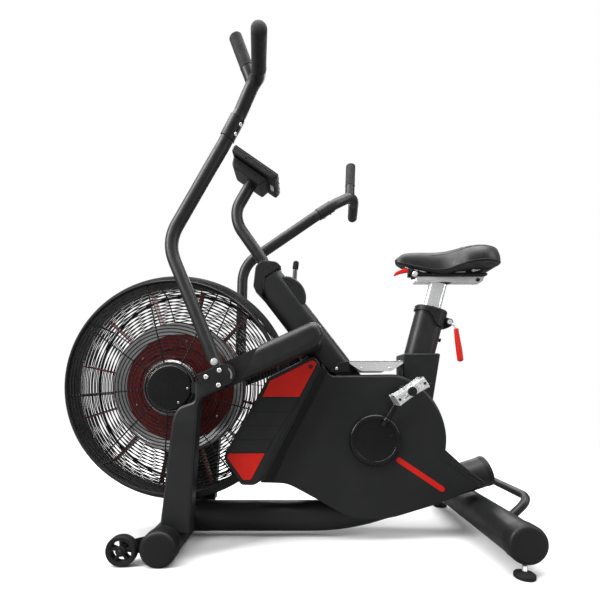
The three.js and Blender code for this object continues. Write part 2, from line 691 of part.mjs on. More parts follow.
const SHROUD_REAR_R = 221;
function shroudOutline() {
  const points = [[71, 554], [96, 517], [312, 520]];
  for (const angle of [52, 40, 28, 16, 4, -8]) {
    points.push([235 + SHROUD_REAR_R * Math.cos(rad(angle)), 316 + SHROUD_REAR_R * Math.sin(rad(angle))]);
  }
  points.push([498, 245], [581, 181], [544, 164], [439, 121], [269, 69], [167, 73], [127, 91], [53, 134]);
  points.push([3, 161], [-38, 182], [-121, 184], [-104, 214]);
  return points.reverse();
}
const clearance = framework(1.2);
const frontMouth = [[-105, 228], [-91, 221], [72, 538], [57, 545]];
function shroudHalf() {
  const outer = slab(shroudOutline(), -SHROUD_HALF, -GAP / 2);
  const hollow = slab(inset(shroudOutline(), WALL), -SHROUD_HALF + WALL, 10);
  const mouth = slab(frontMouth, -SHROUD_HALF + WALL, 10);
  return cut(outer, hollow, mouth, clearance, drum(CRANK.x, CRANK.z, 27, -90, 0, 24));
}
pair("shroud", shroudHalf(), "plastic");

// Vent panels on both sides of the fan cage, standing out over it, with a return wall at the back.
function panelOutline() {
  return [
    [-134, 186], [-172, 187], [-182, 199], [-220, 256], [-224, 277],
    [-90, 511], [30, 570], [42, 571], [56, 561], [64, 545], [-60, 300], [-112, 200],
  ].reverse();
}
const panelInside = [
  [-150, 150], [-260, 250], [-260, 600], [20, 640], [49, 553], [57, 544], [-66, 302], [-117, 204],
].reverse();
function ventPanel() {
  const shell = slab(panelOutline(), -PANEL_FACE, -SHROUD_HALF - GAP);
  const hollow = slab(panelInside, -PANEL_FACE + WALL, 0);
  const grooves = [300, 345, 390].map((z) =>
    block([-230, -PANEL_FACE - 1, z], [-20, -PANEL_FACE + 1.5, z + 4]));
  return cut(shell, hollow, ...grooves);
}
pair("vent_panel", ventPanel(), "plastic");

// Tread plate on top of the shroud, with a folded flange on each side.
const TREAD = { x0: 156, x1: 322, z0: 529, z1: 561, half: 74, thick: 3 };
const treadOutline = [
  [TREAD.x0, TREAD.z1], [TREAD.x0, 553], [188, TREAD.z0],
  [290, TREAD.z0], [TREAD.x1, 553], [TREAD.x1, TREAD.z1],
];
const flange = slab(
  treadOutline,
  -TREAD.half,
  TREAD.half,
);
const treadInner = TREAD.half - TREAD.thick;
const treadInside = block([TREAD.x0 - 5, -treadInner, 500], [400, treadInner, 558]);
piece("step_plate", cut(flange, treadInside, clearance), "silver");

// Moulded sleeve round the foot of the seat tube.
const sleeveOutline = [[331, 430], [331, 587], [448, 587], [423, 430]].reverse();
const shroudRear = drum(CRANK.x, CRANK.z, SHROUD_REAR_R + 2 * GAP, -60, 60, 96);
piece("seat_tube_sleeve", cut(slab(sleeveOutline, -48, 48), clearance, shroudRear), "plastic");

// ---------- post collar, console and brake ----------

const mastBends = [[-103, 862], [-120, 896], [-200, 1010], [-205, 1062], [-144, 1168]];
const MAST = mastBends.map(([x, z]) => at(x, 0, z));
const beyond = (end, before, by) => end.clone().add(end.clone().sub(before).setLength(by));
const mast = (grow) => {
  const foot = beyond(MAST[0], MAST[1], grow);
  const head = beyond(MAST.at(-1), MAST.at(-2), grow);
  return pipe([foot, ...MAST.slice(1, -1), head], TUBE_R + grow, { bend: 60, arcSteps: 4 });
};
const collarOutline = [
  [-116, 766], [-147, 800], [-139, 868], [-117, 887], [-72, 882], [-56, 866], [-106, 834], [-111, 818],
].reverse();
piece("console_mast", mast(0), "coat");
piece("post_collar", cut(slab(collarOutline, -33, 33), clearance, mast(4 * GAP)), "plastic");

const CONSOLE = { half: 62, back: 44, screen: 4, depth: 25, deep: 56 };
const consoleRear = at(-62.5, 0, 1144.5);
const consoleFront = at(-200, 0, 1240);
const slabTop = consoleRear.clone().sub(consoleFront).normalize();
const slabDown = at(slabTop.z, 0, -slabTop.x);
const onConsole = (base, along, down) => {
  const spot = base.clone().addScaledVector(slabTop, along).addScaledVector(slabDown, down);
  return [spot.x, spot.z];
};
const caseOutline = [
  onConsole(consoleFront, 0, CONSOLE.screen),
  onConsole(consoleRear, 0, CONSOLE.screen),
  onConsole(consoleRear, -3, CONSOLE.depth),
  onConsole(consoleFront, 3, CONSOLE.depth),
];
const backOutline = [
  onConsole(consoleFront, 8, CONSOLE.depth - 2),
  onConsole(consoleRear, -28, CONSOLE.depth - 2),
  onConsole(consoleRear, -36, CONSOLE.deep),
  onConsole(consoleFront, 22, CONSOLE.deep),
];
piece(
  "console_case",
  cut(
    join(slab(caseOutline, -CONSOLE.half, CONSOLE.half), slab(backOutline, -CONSOLE.back, CONSOLE.back)),
    mast(4 * GAP),
  ),
  "plastic",
);
const screenOutline = [
  onConsole(consoleFront, 3, 0),
  onConsole(consoleRear, -3, 0),
  onConsole(consoleRear, -3, CONSOLE.screen - GAP),
  onConsole(consoleFront, 3, CONSOLE.screen - GAP),
];
piece("console_screen", slab(screenOutline, -CONSOLE.half + 4, CONSOLE.half - 4), "screen");

// Brake: a housing on the rear of the post, with a stick that is pulled back.
const brakeOutline = new THREE.Shape();
brakeOutline.moveTo(-56, 834);
brakeOutline.bezierCurveTo(-24, 850, 36, 806, 21, 752);
brakeOutline.lineTo(6, 738);
const brakeSlot = slab([[-28, 802], [-8, 800], [26, 850], [-40, 880]].reverse(), -8.5, 8.5);
const brakeBody = slab(brakeOutline, -28, 28);
piece("brake_housing", cut(brakeBody, clearance, brakeSlot), "plastic");
const brakeStick = pipe([at(-16, 0, 817), at(-12, 0, 866)], 7, { facets: 12 });
const brakeKnob = pipe([at(-12, 0, 864), at(-8.7, 0, 894)], 9, { facets: 12 });
piece("brake_lever", join(brakeStick, brakeKnob), "plastic");

// ---------- seat ----------

const RAIL = { x0: 378, x1: 600, z0: 820, z1: 838, half: 19 };
const RAISED = 100; // height of the seat post over the tube, along the tube
const postEnds = [alongSeatTube(RAISED - SEAT_POST.drop), alongSeatTube(RAISED)];
const seatPost = join(
  sweep(stadium(SEAT_POST.across, SEAT_POST.along), postEnds, { facets: 6 }),
  block([RAIL.x0, -RAIL.half, RAIL.z0], [RAIL.x1, RAIL.half, RAIL.z1]),
);
piece("seat_post", seatPost, "silver");

const CARRIAGE = { x0: 372, x1: 604, z1: 846, half: 30 };
const carriageBody = join(
  block([430, -CARRIAGE.half, RAIL.z1 + GAP], [CARRIAGE.x1, CARRIAGE.half, CARRIAGE.z1]),
  block([CARRIAGE.x0, -24, RAIL.z1 + GAP], [440, 24, CARRIAGE.z1]),
  slab([[384, 845], [384, 870], [392, 876], [440, 852], [440, 845]].reverse(), -20, 20),
  block([357, -10, 840], [386, 10, 862]),
);
piece("seat_carriage", carriageBody, "plastic");

// Saddle: cross sections from the nose to the rear, each a closed ring of points.
const SADDLE_SECTIONS = [
  { x: 319, half: 10, top: 900, low: 884 },
  { x: 335, half: 20, top: 914, low: 872 },
  { x: 372, half: 28, top: 919, low: 866 },
  { x: 420, half: 38, top: 919, low: 852 },
  { x: 470, half: 64, top: 920, low: 848 },
  { x: 516, half: 102, top: 927, low: 848 },
  { x: 558, half: 113, top: 931, low: 848 },
  { x: 600, half: 102, top: 927, low: 850 },
  { x: 624, half: 74, top: 914, low: 858 },
  { x: 637, half: 42, top: 900, low: 876 },
];
const SADDLE_RING = 16;
function saddleSolid() {
  const points = [];
  for (const { x, half, top, low } of SADDLE_SECTIONS) {
    for (let i = 0; i < SADDLE_RING; i += 1) {
      const angle = (2 * Math.PI * i) / SADDLE_RING;
      const rise = Math.sin(angle);
      const wide = half * Math.sign(Math.cos(angle)) * Math.abs(Math.cos(angle)) ** 0.8;
      points.push(x, wide, rise >= 0 ? low + 14 + (top - low - 14) * rise : low + 14 + 14 * rise);
    }
  }
  const faces = [];
  const last = SADDLE_SECTIONS.length - 1;
  for (let s = 0; s < last; s += 1) {
    for (let i = 0; i < SADDLE_RING; i += 1) {
      const a = s * SADDLE_RING + i;
      const b = s * SADDLE_RING + ((i + 1) % SADDLE_RING);
      faces.push(a, b, b + SADDLE_RING, a, b + SADDLE_RING, a + SADDLE_RING);
    }
  }
  for (let i = 1; i < SADDLE_RING - 1; i += 1) {
    faces.push(0, i + 1, i);
    faces.push(last * SADDLE_RING, last * SADDLE_RING + i, last * SADDLE_RING + i + 1);
  }
  const geometry = new THREE.BufferGeometry();
  geometry.setAttribute("position", new THREE.Float32BufferAttribute(points, 3));
  geometry.setIndex(faces);
  return solid(geometry);
}
const carriageRoom = join(
  block([420, -CARRIAGE.half - 1, 800], [CARRIAGE.x1 + 1, CARRIAGE.half + 1, CARRIAGE.z1 + 0.5]),
  slab([[383, 845], [383, 871], [392, 877.5], [442, 853], [442, 845]].reverse(), -21, 21),
);
piece("saddle", cut(saddleSolid(), carriageRoom), "rubber");

// Seat clamp on the top of the seat tube, its ear and bolt, and the hanging red lever.
const clampTop = alongSeatTube(14);
const clampBottom = alongSeatTube(-34);
const clampShape = (grow) => stadium(SEAT_SIZE.across + grow, SEAT_SIZE.along + grow);
const CLAMP_BOLT = { x: 485, z: 689 };
const clampEar = [
  [448, 672], [481, 672], [497, 682], [497, 697], [481, 704], [448, 712],
].reverse();
const clamp = cut(
  join(
    sweep(clampShape(11), [clampBottom, clampTop], { facets: 8 }),
    slab(clampEar, -14, 14),
  ),
  sweep(clampShape(2 * GAP), [alongSeatTube(-60), alongSeatTube(GAP)], { facets: 8 }),
  seatBore,
  drum(CLAMP_BOLT.x, CLAMP_BOLT.z, 5 + GAP, -20, 20, 12),
);
piece("seat_clamp", clamp, "plastic");
const clampRod = [at(CLAMP_BOLT.x, -24, CLAMP_BOLT.z), at(503, -26, 672), at(506, -26, 662)];
const clampLever = join(
  drum(CLAMP_BOLT.x, CLAMP_BOLT.z, 5, -24, 17, 12),
  drum(CLAMP_BOLT.x, CLAMP_BOLT.z, 11, -30, -17, 16),
  pipe(clampRod, 4, { bend: 12, arcSteps: 3, facets: 8 }),
  pipe([at(505, -26, 667), at(520, -26, 564)], 9, { facets: 12 }),
);
piece("clamp_lever", clampLever, "red");
const SLIDER_PIVOT = { x: 364, z: 854 };
const sliderOutline = [
  [366, 862], [340, 862], [314, 852], [306, 842], [309, 838], [326, 846], [350, 850], [366, 848],
].reverse();
const sliderLever = join(
  drum(SLIDER_PIVOT.x, SLIDER_PIVOT.z, 7, -26, -10 - GAP, 12),
  slab(sliderOutline, -24, -12),
);
piece("slider_lever", sliderLever, "red");

export default bike;
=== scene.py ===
"""The looks of the air bike: fine meshes, procedural materials, light and camera, in the CAD model's frame.

Shapes are given in millimetres from a point on the floor under the bike's middle. Build.piece() moves them
into the frame, in metres.
+Z is up, the rider faces -X, and the rider's left is -Y.
"""

import json
import math

import bmesh
import bpy
import numpy as np
from mathutils import Matrix, Vector

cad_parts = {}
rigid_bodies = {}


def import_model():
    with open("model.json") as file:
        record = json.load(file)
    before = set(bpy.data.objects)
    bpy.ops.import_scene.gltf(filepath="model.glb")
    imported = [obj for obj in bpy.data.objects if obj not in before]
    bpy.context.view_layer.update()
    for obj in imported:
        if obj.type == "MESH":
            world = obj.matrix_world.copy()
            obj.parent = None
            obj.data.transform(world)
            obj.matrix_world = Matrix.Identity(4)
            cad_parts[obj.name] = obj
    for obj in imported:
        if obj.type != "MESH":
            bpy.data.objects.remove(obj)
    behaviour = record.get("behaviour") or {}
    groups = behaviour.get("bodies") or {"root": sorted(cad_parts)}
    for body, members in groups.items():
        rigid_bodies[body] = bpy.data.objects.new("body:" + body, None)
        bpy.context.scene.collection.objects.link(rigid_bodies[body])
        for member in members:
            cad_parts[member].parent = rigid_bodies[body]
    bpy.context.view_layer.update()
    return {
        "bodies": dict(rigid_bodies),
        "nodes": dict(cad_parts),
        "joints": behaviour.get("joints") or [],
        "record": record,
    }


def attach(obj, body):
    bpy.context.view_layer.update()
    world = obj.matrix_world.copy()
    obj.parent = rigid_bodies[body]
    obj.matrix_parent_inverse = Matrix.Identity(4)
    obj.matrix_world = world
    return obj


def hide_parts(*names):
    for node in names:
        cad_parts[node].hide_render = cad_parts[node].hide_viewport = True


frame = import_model()
JOINTS = {joint["name"]: joint for joint in frame["joints"]}
BODY_OF = {node: body for body, nodes in frame["record"]["behaviour"]["bodies"].items() for node in nodes}
MM = 0.001
FAN_X = -381.0  # the fan's axis, from the bike's middle line
SHIFT = JOINTS["fan_spin"]["pos_m"][0] - FAN_X * MM

# ---------- points and outlines, in millimetres ----------


def joint_spot(name):
    x, y, z = JOINTS[name]["pos_m"]
    return Vector(((x - SHIFT) / MM, y / MM, z / MM))


def arc(cx, cz, radius, start, end, steps=12):
    """Points on a circle, with angles in degrees."""
    angles = [math.radians(start + (end - start) * i / steps) for i in range(steps + 1)]
    return [(cx + radius * math.cos(a), cz + radius * math.sin(a)) for a in angles]


def circle(radius, count=32):
    return arc(0, 0, radius, 0, 360 - 360 / count, count - 1)


def curve(a, b, c, steps, first=0):
    """Points on the curve from a to c that leans towards b."""
    shares = [k / steps for k in range(first, steps + 1)]
    return [a * (1 - t) ** 2 + b * 2 * t * (1 - t) + c * t * t for t in shares]


def corner(a, b, c, radius, steps):
    """The curve that takes the place of the corner b, using less than half of each side."""
    reach = min(radius, (a - b).length * 0.49, (c - b).length * 0.49)
    if reach < 0.01:
        return [b]
    return curve(b + (a - b).normalized() * reach, b, b + (c - b).normalized() * reach, steps)


def round_corners(points, radius, steps=5):
    """A closed outline with its corners rounded. radius is one number, or one per corner."""
    count = len(points)
    radii = radius if isinstance(radius, (list, tuple)) else [radius] * count
    spots = [Vector(point) for point in points]
    out = []
    for i, (spot, r) in enumerate(zip(spots, radii)):
        out += [tuple(p) for p in corner(spots[i - 1], spot, spots[(i + 1) % count], r, steps)]
    return out


def bent(points, bend, steps=10):
    """A path whose corners are rounded."""
    spots = [Vector(p) for p in points]
    out = [spots[0]]
    for a, b, c in zip(spots, spots[1:], spots[2:]):
        out += corner(a, b, c, bend, steps)
    return out + [spots[-1]]


def drawn(start, *moves, steps=8):
    """An outline from a start point, (x, z) lines and (x, z, x, z) curves with a control point first."""
    out = [start]
    for move in moves:
        if len(move) == 2:
            out.append(move)
        else:
            out += [tuple(p) for p in curve(Vector(out[-1]), Vector(move[:2]), Vector(move[2:]), steps, 1)]
    return out


def area(outline):
    return sum(x0 * z1 - x1 * z0 for (x0, z0), (x1, z1) in zip(outline, outline[1:] + outline[:1])) / 2


def inset(outline, distance):
    """The outline moved inwards."""
    side = 1 if area(outline) > 0 else -1
    out = []
    count = len(outline)
    for i, here in enumerate(outline):
        b = Vector(here)
        before = (b - Vector(outline[i - 1])).normalized()
        after = (Vector(outline[(i + 1) % count]) - b).normalized()
        inward = Vector((-(before.y + after.y), before.x + after.x))
        if inward.length < 1e-6:
            inward = Vector((-after.y, after.x))
        inward.normalize()
        reach = distance / max(0.4, inward.dot(Vector((-after.y, after.x))))
        out.append(tuple(b + inward * side * reach))
    return out


# ---------- mesh building ----------


def face_outwards(mesh, join=0.0):
    """Turns the faces outwards, once vertices closer than join are one."""
    work = bmesh.new()
    work.from_mesh(mesh)
    if join:
        bmesh.ops.remove_doubles(work, verts=work.verts, dist=join)
    bmesh.ops.recalc_face_normals(work, faces=work.faces)
    work.to_mesh(mesh)
    work.free()


JOIN_MM = 0.01  # vertices this close are one, after a cut
JOIN_M = 1e-6  # and in a finished mesh, in metres
FLAT_ANGLE = math.radians(0.4)
NODE_JOIN_M = 2e-5
NODE_FLAT_ANGLE = math.radians(1.5)


class Build:
    """Vertices and faces in millimetres, added shape by shape and made into one piece."""

    def __init__(self):
        self.verts = []
        self.faces = []
        self.marks = []

    def add(self, verts, faces, mark=0):
        base = len(self.verts)
        self.verts += [tuple(v) for v in verts]
        self.faces += [tuple(base + i for i in face) for face in faces]
        self.marks += [mark] * len(faces)
        return self

    def rings(self, rings, closed_ends=True, loop=False, mark=0):
        """Joins rings of points, each a closed loop of the same length."""
        n = len(rings[0])
        verts = [point for ring in rings for point in ring]
        faces = []
        last = len(rings) if loop else len(rings) - 1
        for r in range(last):
            for i in range(n):
                j = (i + 1) % n
                a, b = r * n, ((r + 1) % len(rings)) * n
                faces.append((a + i, a + j, b + j, b + i))
        if closed_ends and not loop:
            faces.append(tuple(reversed(range(n))))
            faces.append(tuple((len(rings) - 1) * n + i for i in range(n)))
        return self.add(verts, faces, mark)

    def sweep(self, path, section, scales=None, mark=0, up=(0, 1, 0)):
        """A section of (across, along) pairs carried along a path."""
        path = [Vector(p) for p in path]
        tangents = []
        for i in range(len(path)):
            ahead = path[min(i + 1, len(path) - 1)] - path[max(i - 1, 0)]
            tangents.append(ahead.normalized())
        normal = Vector(up)
        if abs(normal.dot(tangents[0])) > 0.95:
            normal = Vector((0, 0, 1))
        rings = []
        for i, (centre, tangent) in enumerate(zip(path, tangents)):
            normal = (normal - tangent * normal.dot(tangent)).normalized()
            side = tangent.cross(normal)
            k = scales[i] if scales else 1.0
            rings.append([centre + normal * u * k + side * v * k for u, v in section])
        return self.rings(rings, mark=mark)

    def pipe(self, path, radius, count=28, round_end=0.0, round_start=0.0, mark=0):
        """A round tube. round_end and round_start give the end a domed tip, as a share of the radius."""
        path = [Vector(p) for p in path]
        scales = [1.0] * len(path)

        def dome(tip, inner, share):
            direction = (tip - inner).normalized()
            stops = [math.radians(15 * k) for k in range(7)]
            reach = radius * share
            points = [tip - direction * reach * (1 - math.sin(s)) for s in stops]
            return points, [max(0.03, math.cos(s)) for s in stops]

        if round_end:
            points, sizes = dome(path[-1], path[-2], round_end)
            path, scales = path[:-1] + points, scales[:-1] + sizes
        if round_start:
            points, sizes = dome(path[0], path[1], round_start)
            path, scales = points[::-1] + path[1:], sizes[::-1] + scales[1:]
        return self.sweep(path, circle(radius, count), scales, mark)

    def lathe(self, x, z, profile, count=64, mark=0):
        """A closed profile of (radius, y) pairs turned about the Y axis through (x, z)."""
        rings = []
        for i in range(count):
            a = 2 * math.pi * i / count
            rings.append([(x + r * math.cos(a), y, z + r * math.sin(a)) for r, y in profile])
        return self.rings(rings, loop=True, mark=mark)

    def hoop(self, x, z, radius, y, wire, count=96, sides=6, mark=0):
        """A round wire bent into a circle about the Y axis."""
        turns = np.linspace(0, 2 * math.pi, sides + 1)[:-1]
        section = [(radius + wire * math.cos(t), y + wire * math.sin(t)) for t in turns]
        return self.lathe(x, z, section, count, mark)

    def slab(self, outline, y0, y1, soft0=0.0, soft1=0.0, steps=3, mark=0, share=None):
        """A side outline made solid from y0 to y1, with its rims rounded by soft0 and soft1.

        share scales the rounding at each point of the outline.
        """
        share = share or [1.0] * len(outline)
        if area(outline) > 0:
            outline = outline[::-1]
            share = share[::-1]
        inner = inset(outline, 1.0)
        stops = [math.pi / 2 * k / steps for k in range(steps + 1)]
        layers = [(y0, 1, soft0, t) for t in stops] if soft0 else [(y0, 1, 0.0, 0.0)]
        layers += [(y1, -1, soft1, t) for t in reversed(stops)] if soft1 else [(y1, -1, 0.0, 0.0)]
        rings = []
        for y, inward, soft, t in layers:
            ring = []
            for (x, z), (xi, zi), k in zip(outline, inner, share):
                sink = soft * k * (1 - math.sin(t))
                rise = soft * k * (1 - math.cos(t)) * inward
                ring.append((x + (xi - x) * sink, y + rise, z + (zi - z) * sink))
            rings.append(ring)
        return self.rings(rings, mark=mark)

    def block(self, low, high, mark=0):
        (x0, y0, z0), (x1, y1, z1) = low, high
        return self.slab([(x0, z0), (x1, z0), (x1, z1), (x0, z1)], y0, y1, mark=mark)

    def turned(self, base, axis, profile, count=20, mark=0):
        """A profile of (radius, distance) pairs turned about an axis through base, closed at both ends."""
        axis = Vector(axis).normalized()
        path = [Vector(base) + axis * d for r, d in profile]
        across = Vector((0, 0, 1)) if abs(axis.z) < 0.9 else Vector((1, 0, 0))
        across = (across - axis * across.dot(axis)).normalized()
        side = axis.cross(across)
        turns = [2 * math.pi * i / count for i in range(count)]
        rings = []
        for centre, (r, d) in zip(path, profile):
            r = max(r, 0.02)
            rings.append([centre + across * r * math.cos(t) + side * r * math.sin(t) for t in turns])
        return self.rings(rings, mark=mark)

    def moved(self, matrix):
        self.verts = [tuple(matrix @ Vector(v)) for v in self.verts]
        return self

    def mirrored(self):
        other = Build()
        other.verts = [(x, -y, z) for x, y, z in self.verts]
        other.faces = [tuple(reversed(face)) for face in self.faces]
        other.marks = list(self.marks)
        return other

    def merged(self, other):
        base = len(self.verts)
        self.verts += other.verts
        self.faces += [tuple(base + i for i in face) for face in other.faces]
        self.marks += other.marks
        return self

    def carved(self, *tools, flatten=True):
        """Cuts closed shapes out of this one. flatten joins the flat faces that the cuts split."""
        scene = bpy.context.scene.collection
        made = []
        for shape in (self, *tools):
            mesh = bpy.data.meshes.new("carving")
            mesh.from_pydata(shape.verts, [], shape.faces)
            for _ in range(max(self.marks) + 1):
                mesh.materials.append(None)
            mesh.polygons.foreach_set("material_index", shape.marks)
            face_outwards(mesh)
            obj = bpy.data.objects.new("carving", mesh)
            scene.objects.link(obj)
            made.append(obj)
        for tool in made[1:]:
            modifier = made[0].modifiers.new("cut", "BOOLEAN")
            modifier.operation = "DIFFERENCE"
            modifier.solver = "MANIFOLD"
            modifier.object = tool
        bpy.context.view_layer.update()
        graph = bpy.context.evaluated_depsgraph_get()
        result = made[0].evaluated_get(graph).to_mesh()
        joined = bmesh.new()
        joined.from_mesh(result)
        made[0].evaluated_get(graph).to_mesh_clear()
        bmesh.ops.remove_doubles(joined, verts=joined.verts, dist=JOIN_MM)
        if flatten:
            bmesh.ops.dissolve_limit(
                joined, angle_limit=FLAT_ANGLE, verts=joined.verts, edges=joined.edges, delimit={"MATERIAL"},
            )
        joined.verts.index_update()
        self.verts = [tuple(v.co) for v in joined.verts]
        self.faces = [tuple(v.index for v in face.verts) for face in joined.faces]
        self.marks = [face.material_index for face in joined.faces]
        joined.free()
        for obj in made:
            mesh = obj.data
            bpy.data.objects.remove(obj)
            bpy.data.meshes.remove(mesh)
        return self

    def piece(self, name, body, slot, *materials, replaces=(), bevel=0.0, angle=38, subdivide=0):
        """Makes the mesh, gives it its materials and hangs it on its body."""
        mesh = bpy.data.meshes.new(name)
        mesh.from_pydata([(x * MM + SHIFT, y * MM, z * MM) for x, y, z in self.verts], [], self.faces)
        for material in materials:
            mesh.materials.append(material)
        mesh.polygons.foreach_set("material_index", self.marks)
        face_outwards(mesh, join=JOIN_M)
        return dress(bpy.data.objects.new(name, mesh), body, replaces, bevel, angle, subdivide)


def dress(obj, body, replaces=(), bevel=0.0, angle=38, subdivide=0):
    """Shading, bevel and frame bookkeeping for one finished piece."""
    if obj.name not in bpy.context.scene.collection.objects:
        bpy.context.scene.collection.objects.link(obj)
    obj.data.shade_smooth()
    if subdivide:
        modifier = obj.modifiers.new("smooth", "SUBSURF")
        modifier.levels = modifier.render_levels = subdivide
    if bevel:
        modifier = obj.modifiers.new("edge", "BEVEL")
        modifier.width = bevel * MM
        modifier.segments = 2
        modifier.limit_method = "ANGLE"
        modifier.angle_limit = math.radians(angle)
        modifier.harden_normals = True
        modifier.use_clamp_overlap = True
    elif not subdivide:
        obj.data.set_sharp_from_angle(angle=math.radians(angle))
        flat = obj.modifiers.new("flat", "WEIGHTED_NORMAL")
        flat.keep_sharp = True
    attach(obj, body)
    if replaces:
        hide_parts(*replaces)
    return obj


def from_node(node, material, bevel=1.0, angle=32):
    """A finished copy of a CAD node: flat faces joined up and edges rounded."""
    mesh = frame["nodes"][node].data.copy()
    mesh.materials.clear()
    mesh.materials.append(material)
    work = bmesh.new()
    work.from_mesh(mesh)
    bmesh.ops.remove_doubles(work, verts=work.verts, dist=NODE_JOIN_M)
    bmesh.ops.dissolve_limit(work, angle_limit=NODE_FLAT_ANGLE, verts=work.verts, edges=work.edges)
    for face in work.faces:
        face.material_index = 0
    work.to_mesh(mesh)
    work.free()
    obj = bpy.data.objects.new(node + "_finish", mesh)
    return dress(obj, BODY_OF[node], (node,), bevel, angle)


# ---------- materials ----------


class Shader:
    """A node material with short calls for the parts that every finish uses."""

    def __init__(self, name):
        self.material = bpy.data.materials.new(name)
        self.material.use_nodes = True
        self.nodes = self.material.node_tree.nodes
        self.links = self.material.node_tree.links
        self.bsdf = self.nodes["Principled BSDF"]
        self.place = self.nodes.new("ShaderNodeTexCoord").outputs["Object"]

    def set(self, **values):
        for key, value in values.items():
            self.bsdf.inputs[key.replace("_", " ")].default_value = value
        return self

    def noise(self, scale, detail=3.0, rough=0.5, stretch=None):
        node = self.nodes.new("ShaderNodeTexNoise")
        node.inputs["Scale"].default_value = scale
        node.inputs["Detail"].default_value = detail
        node.inputs["Roughness"].default_value = rough
        source = self.place
        if stretch:
            mapping = self.nodes.new("ShaderNodeMapping")
            mapping.inputs["Scale"].default_value = stretch
            self.links.new(source, mapping.inputs["Vector"])
            source = mapping.outputs["Vector"]
        self.links.new(source, node.inputs["Vector"])
        return node.outputs["Fac"]

    def cells(self, scale, feature="F1"):
        node = self.nodes.new("ShaderNodeTexVoronoi")
        node.feature = feature
        node.inputs["Scale"].default_value = scale
        self.links.new(self.place, node.inputs["Vector"])
        return node.outputs["Distance"]

    def spread(self, source, low, high, from_low=0.3, from_high=0.7):
        node = self.nodes.new("ShaderNodeMapRange")
        node.inputs["From Min"].default_value = from_low
        node.inputs["From Max"].default_value = from_high
        node.inputs["To Min"].default_value = low
        node.inputs["To Max"].default_value = high
        self.links.new(source, node.inputs["Value"])
        return node.outputs["Result"]

    def mix(self, factor, dark, light):
        node = self.nodes.new("ShaderNodeMix")
        node.data_type = "RGBA"
        self.links.new(factor, node.inputs["Factor"])
        for socket, value in (("A", dark), ("B", light)):
            target = [i for i in node.inputs if i.name == socket and i.type == "RGBA"][0]
            if isinstance(value, tuple):
                target.default_value = (*value, 1.0)
            else:
                self.links.new(value, target)
        return [o for o in node.outputs if o.type == "RGBA"][0]

    def edges(self, radius=0.0015):
        """A mask that is high on edges, from the difference between a rounded and a plain normal."""
        bevel = self.nodes.new("ShaderNodeBevel")
        bevel.samples = 4
        bevel.inputs["Radius"].default_value = radius
        plain = self.nodes.new("ShaderNodeNewGeometry")
        dot = self.nodes.new("ShaderNodeVectorMath")
        dot.operation = "DOT_PRODUCT"
        self.links.new(bevel.outputs["Normal"], dot.inputs[0])
        self.links.new(plain.outputs["Normal"], dot.inputs[1])
        return self.spread(dot.outputs["Value"], 1.0, 0.0, 0.75, 0.99)

    def bump(self, source, strength, distance=0.0004):
        node = self.nodes.new("ShaderNodeBump")
        node.inputs["Strength"].default_value = strength
        node.inputs["Distance"].default_value = distance
        self.links.new(source, node.inputs["Height"])
        last = self.bsdf.inputs["Normal"].links
        if last:
            self.links.new(last[0].from_socket, node.inputs["Normal"])
        self.links.new(node.outputs["Normal"], self.bsdf.inputs["Normal"])
        return self

    def feed(self, source, socket):
        self.links.new(source, self.bsdf.inputs[socket])
        return self


def powder_coat(name, dark, light, worn):
    """Satin powder coat: orange-peel bump, slow tone drift and slightly lighter rubbed edges."""
    s = Shader(name)
    tone = s.mix(s.spread(s.noise(6, 2), 0, 1), dark, light)
    s.feed(s.mix(s.edges(), tone, worn), "Base Color")
    s.feed(s.spread(s.noise(38, 3), 0.36, 0.5), "Roughness")
    s.bump(s.noise(900, 2), 0.05, 0.0002).bump(s.noise(160, 2), 0.02, 0.0005)
    return s.set(Specular_IOR_Level=0.42).material


def moulded(name, dark, light, rough=(0.42, 0.56), grain=1400, strength=0.05):
    """Moulded plastic with a fine spark-eroded grain."""
    s = Shader(name)
    tone = s.mix(s.spread(s.noise(9, 3), 0, 1), dark, light)
    s.feed(s.mix(s.edges(0.001), tone, tuple(c * 1.35 for c in light)), "Base Color")
    s.feed(s.spread(s.noise(45, 4), *rough), "Roughness")
    s.bump(s.cells(grain), strength, 0.0002).bump(s.noise(240, 2), 0.04, 0.0004)
    return s.set(Specular_IOR_Level=0.32).material


def glossy(name, dark, light, rough=(0.16, 0.3)):
    """Smooth coloured plastic or paint with faint flow marks and dust in its roughness."""
    s = Shader(name)
    s.feed(s.mix(s.spread(s.noise(14, 3), 0, 1), dark, light), "Base Color")
    s.feed(s.spread(s.noise(120, 4), *rough), "Roughness")
    s.bump(s.noise(420, 2), 0.02, 0.0002)
    return s.set(Specular_IOR_Level=0.3).material


def brushed(name, dark, light, rough=(0.16, 0.3), stretch=(6, 6, 260), metallic=1.0):
    """Bright metal, lightly brushed along one direction."""
    s = Shader(name)
    grain = s.noise(14, 4, 0.6, stretch)
    s.feed(s.mix(s.spread(s.noise(8, 2), 0, 1), dark, light), "Base Color")
    s.feed(s.spread(grain, *rough), "Roughness")
    s.bump(grain, 0.05, 0.0002)
    return s.set(Metallic=metallic).material


def foam(name, dark, light):
    """Soft grip foam: open pores and a dry, slightly fuzzy surface."""
    s = Shader(name)
    s.feed(s.mix(s.spread(s.noise(70, 4), 0, 1), dark, light), "Base Color")
    s.feed(s.spread(s.noise(200, 3), 0.62, 0.8), "Roughness")
    s.bump(s.cells(1100), 0.25, 0.0003).bump(s.noise(60, 2), 0.05, 0.0008)
    return s.set(Sheen_Weight=0.05, Specular_IOR_Level=0.3).material


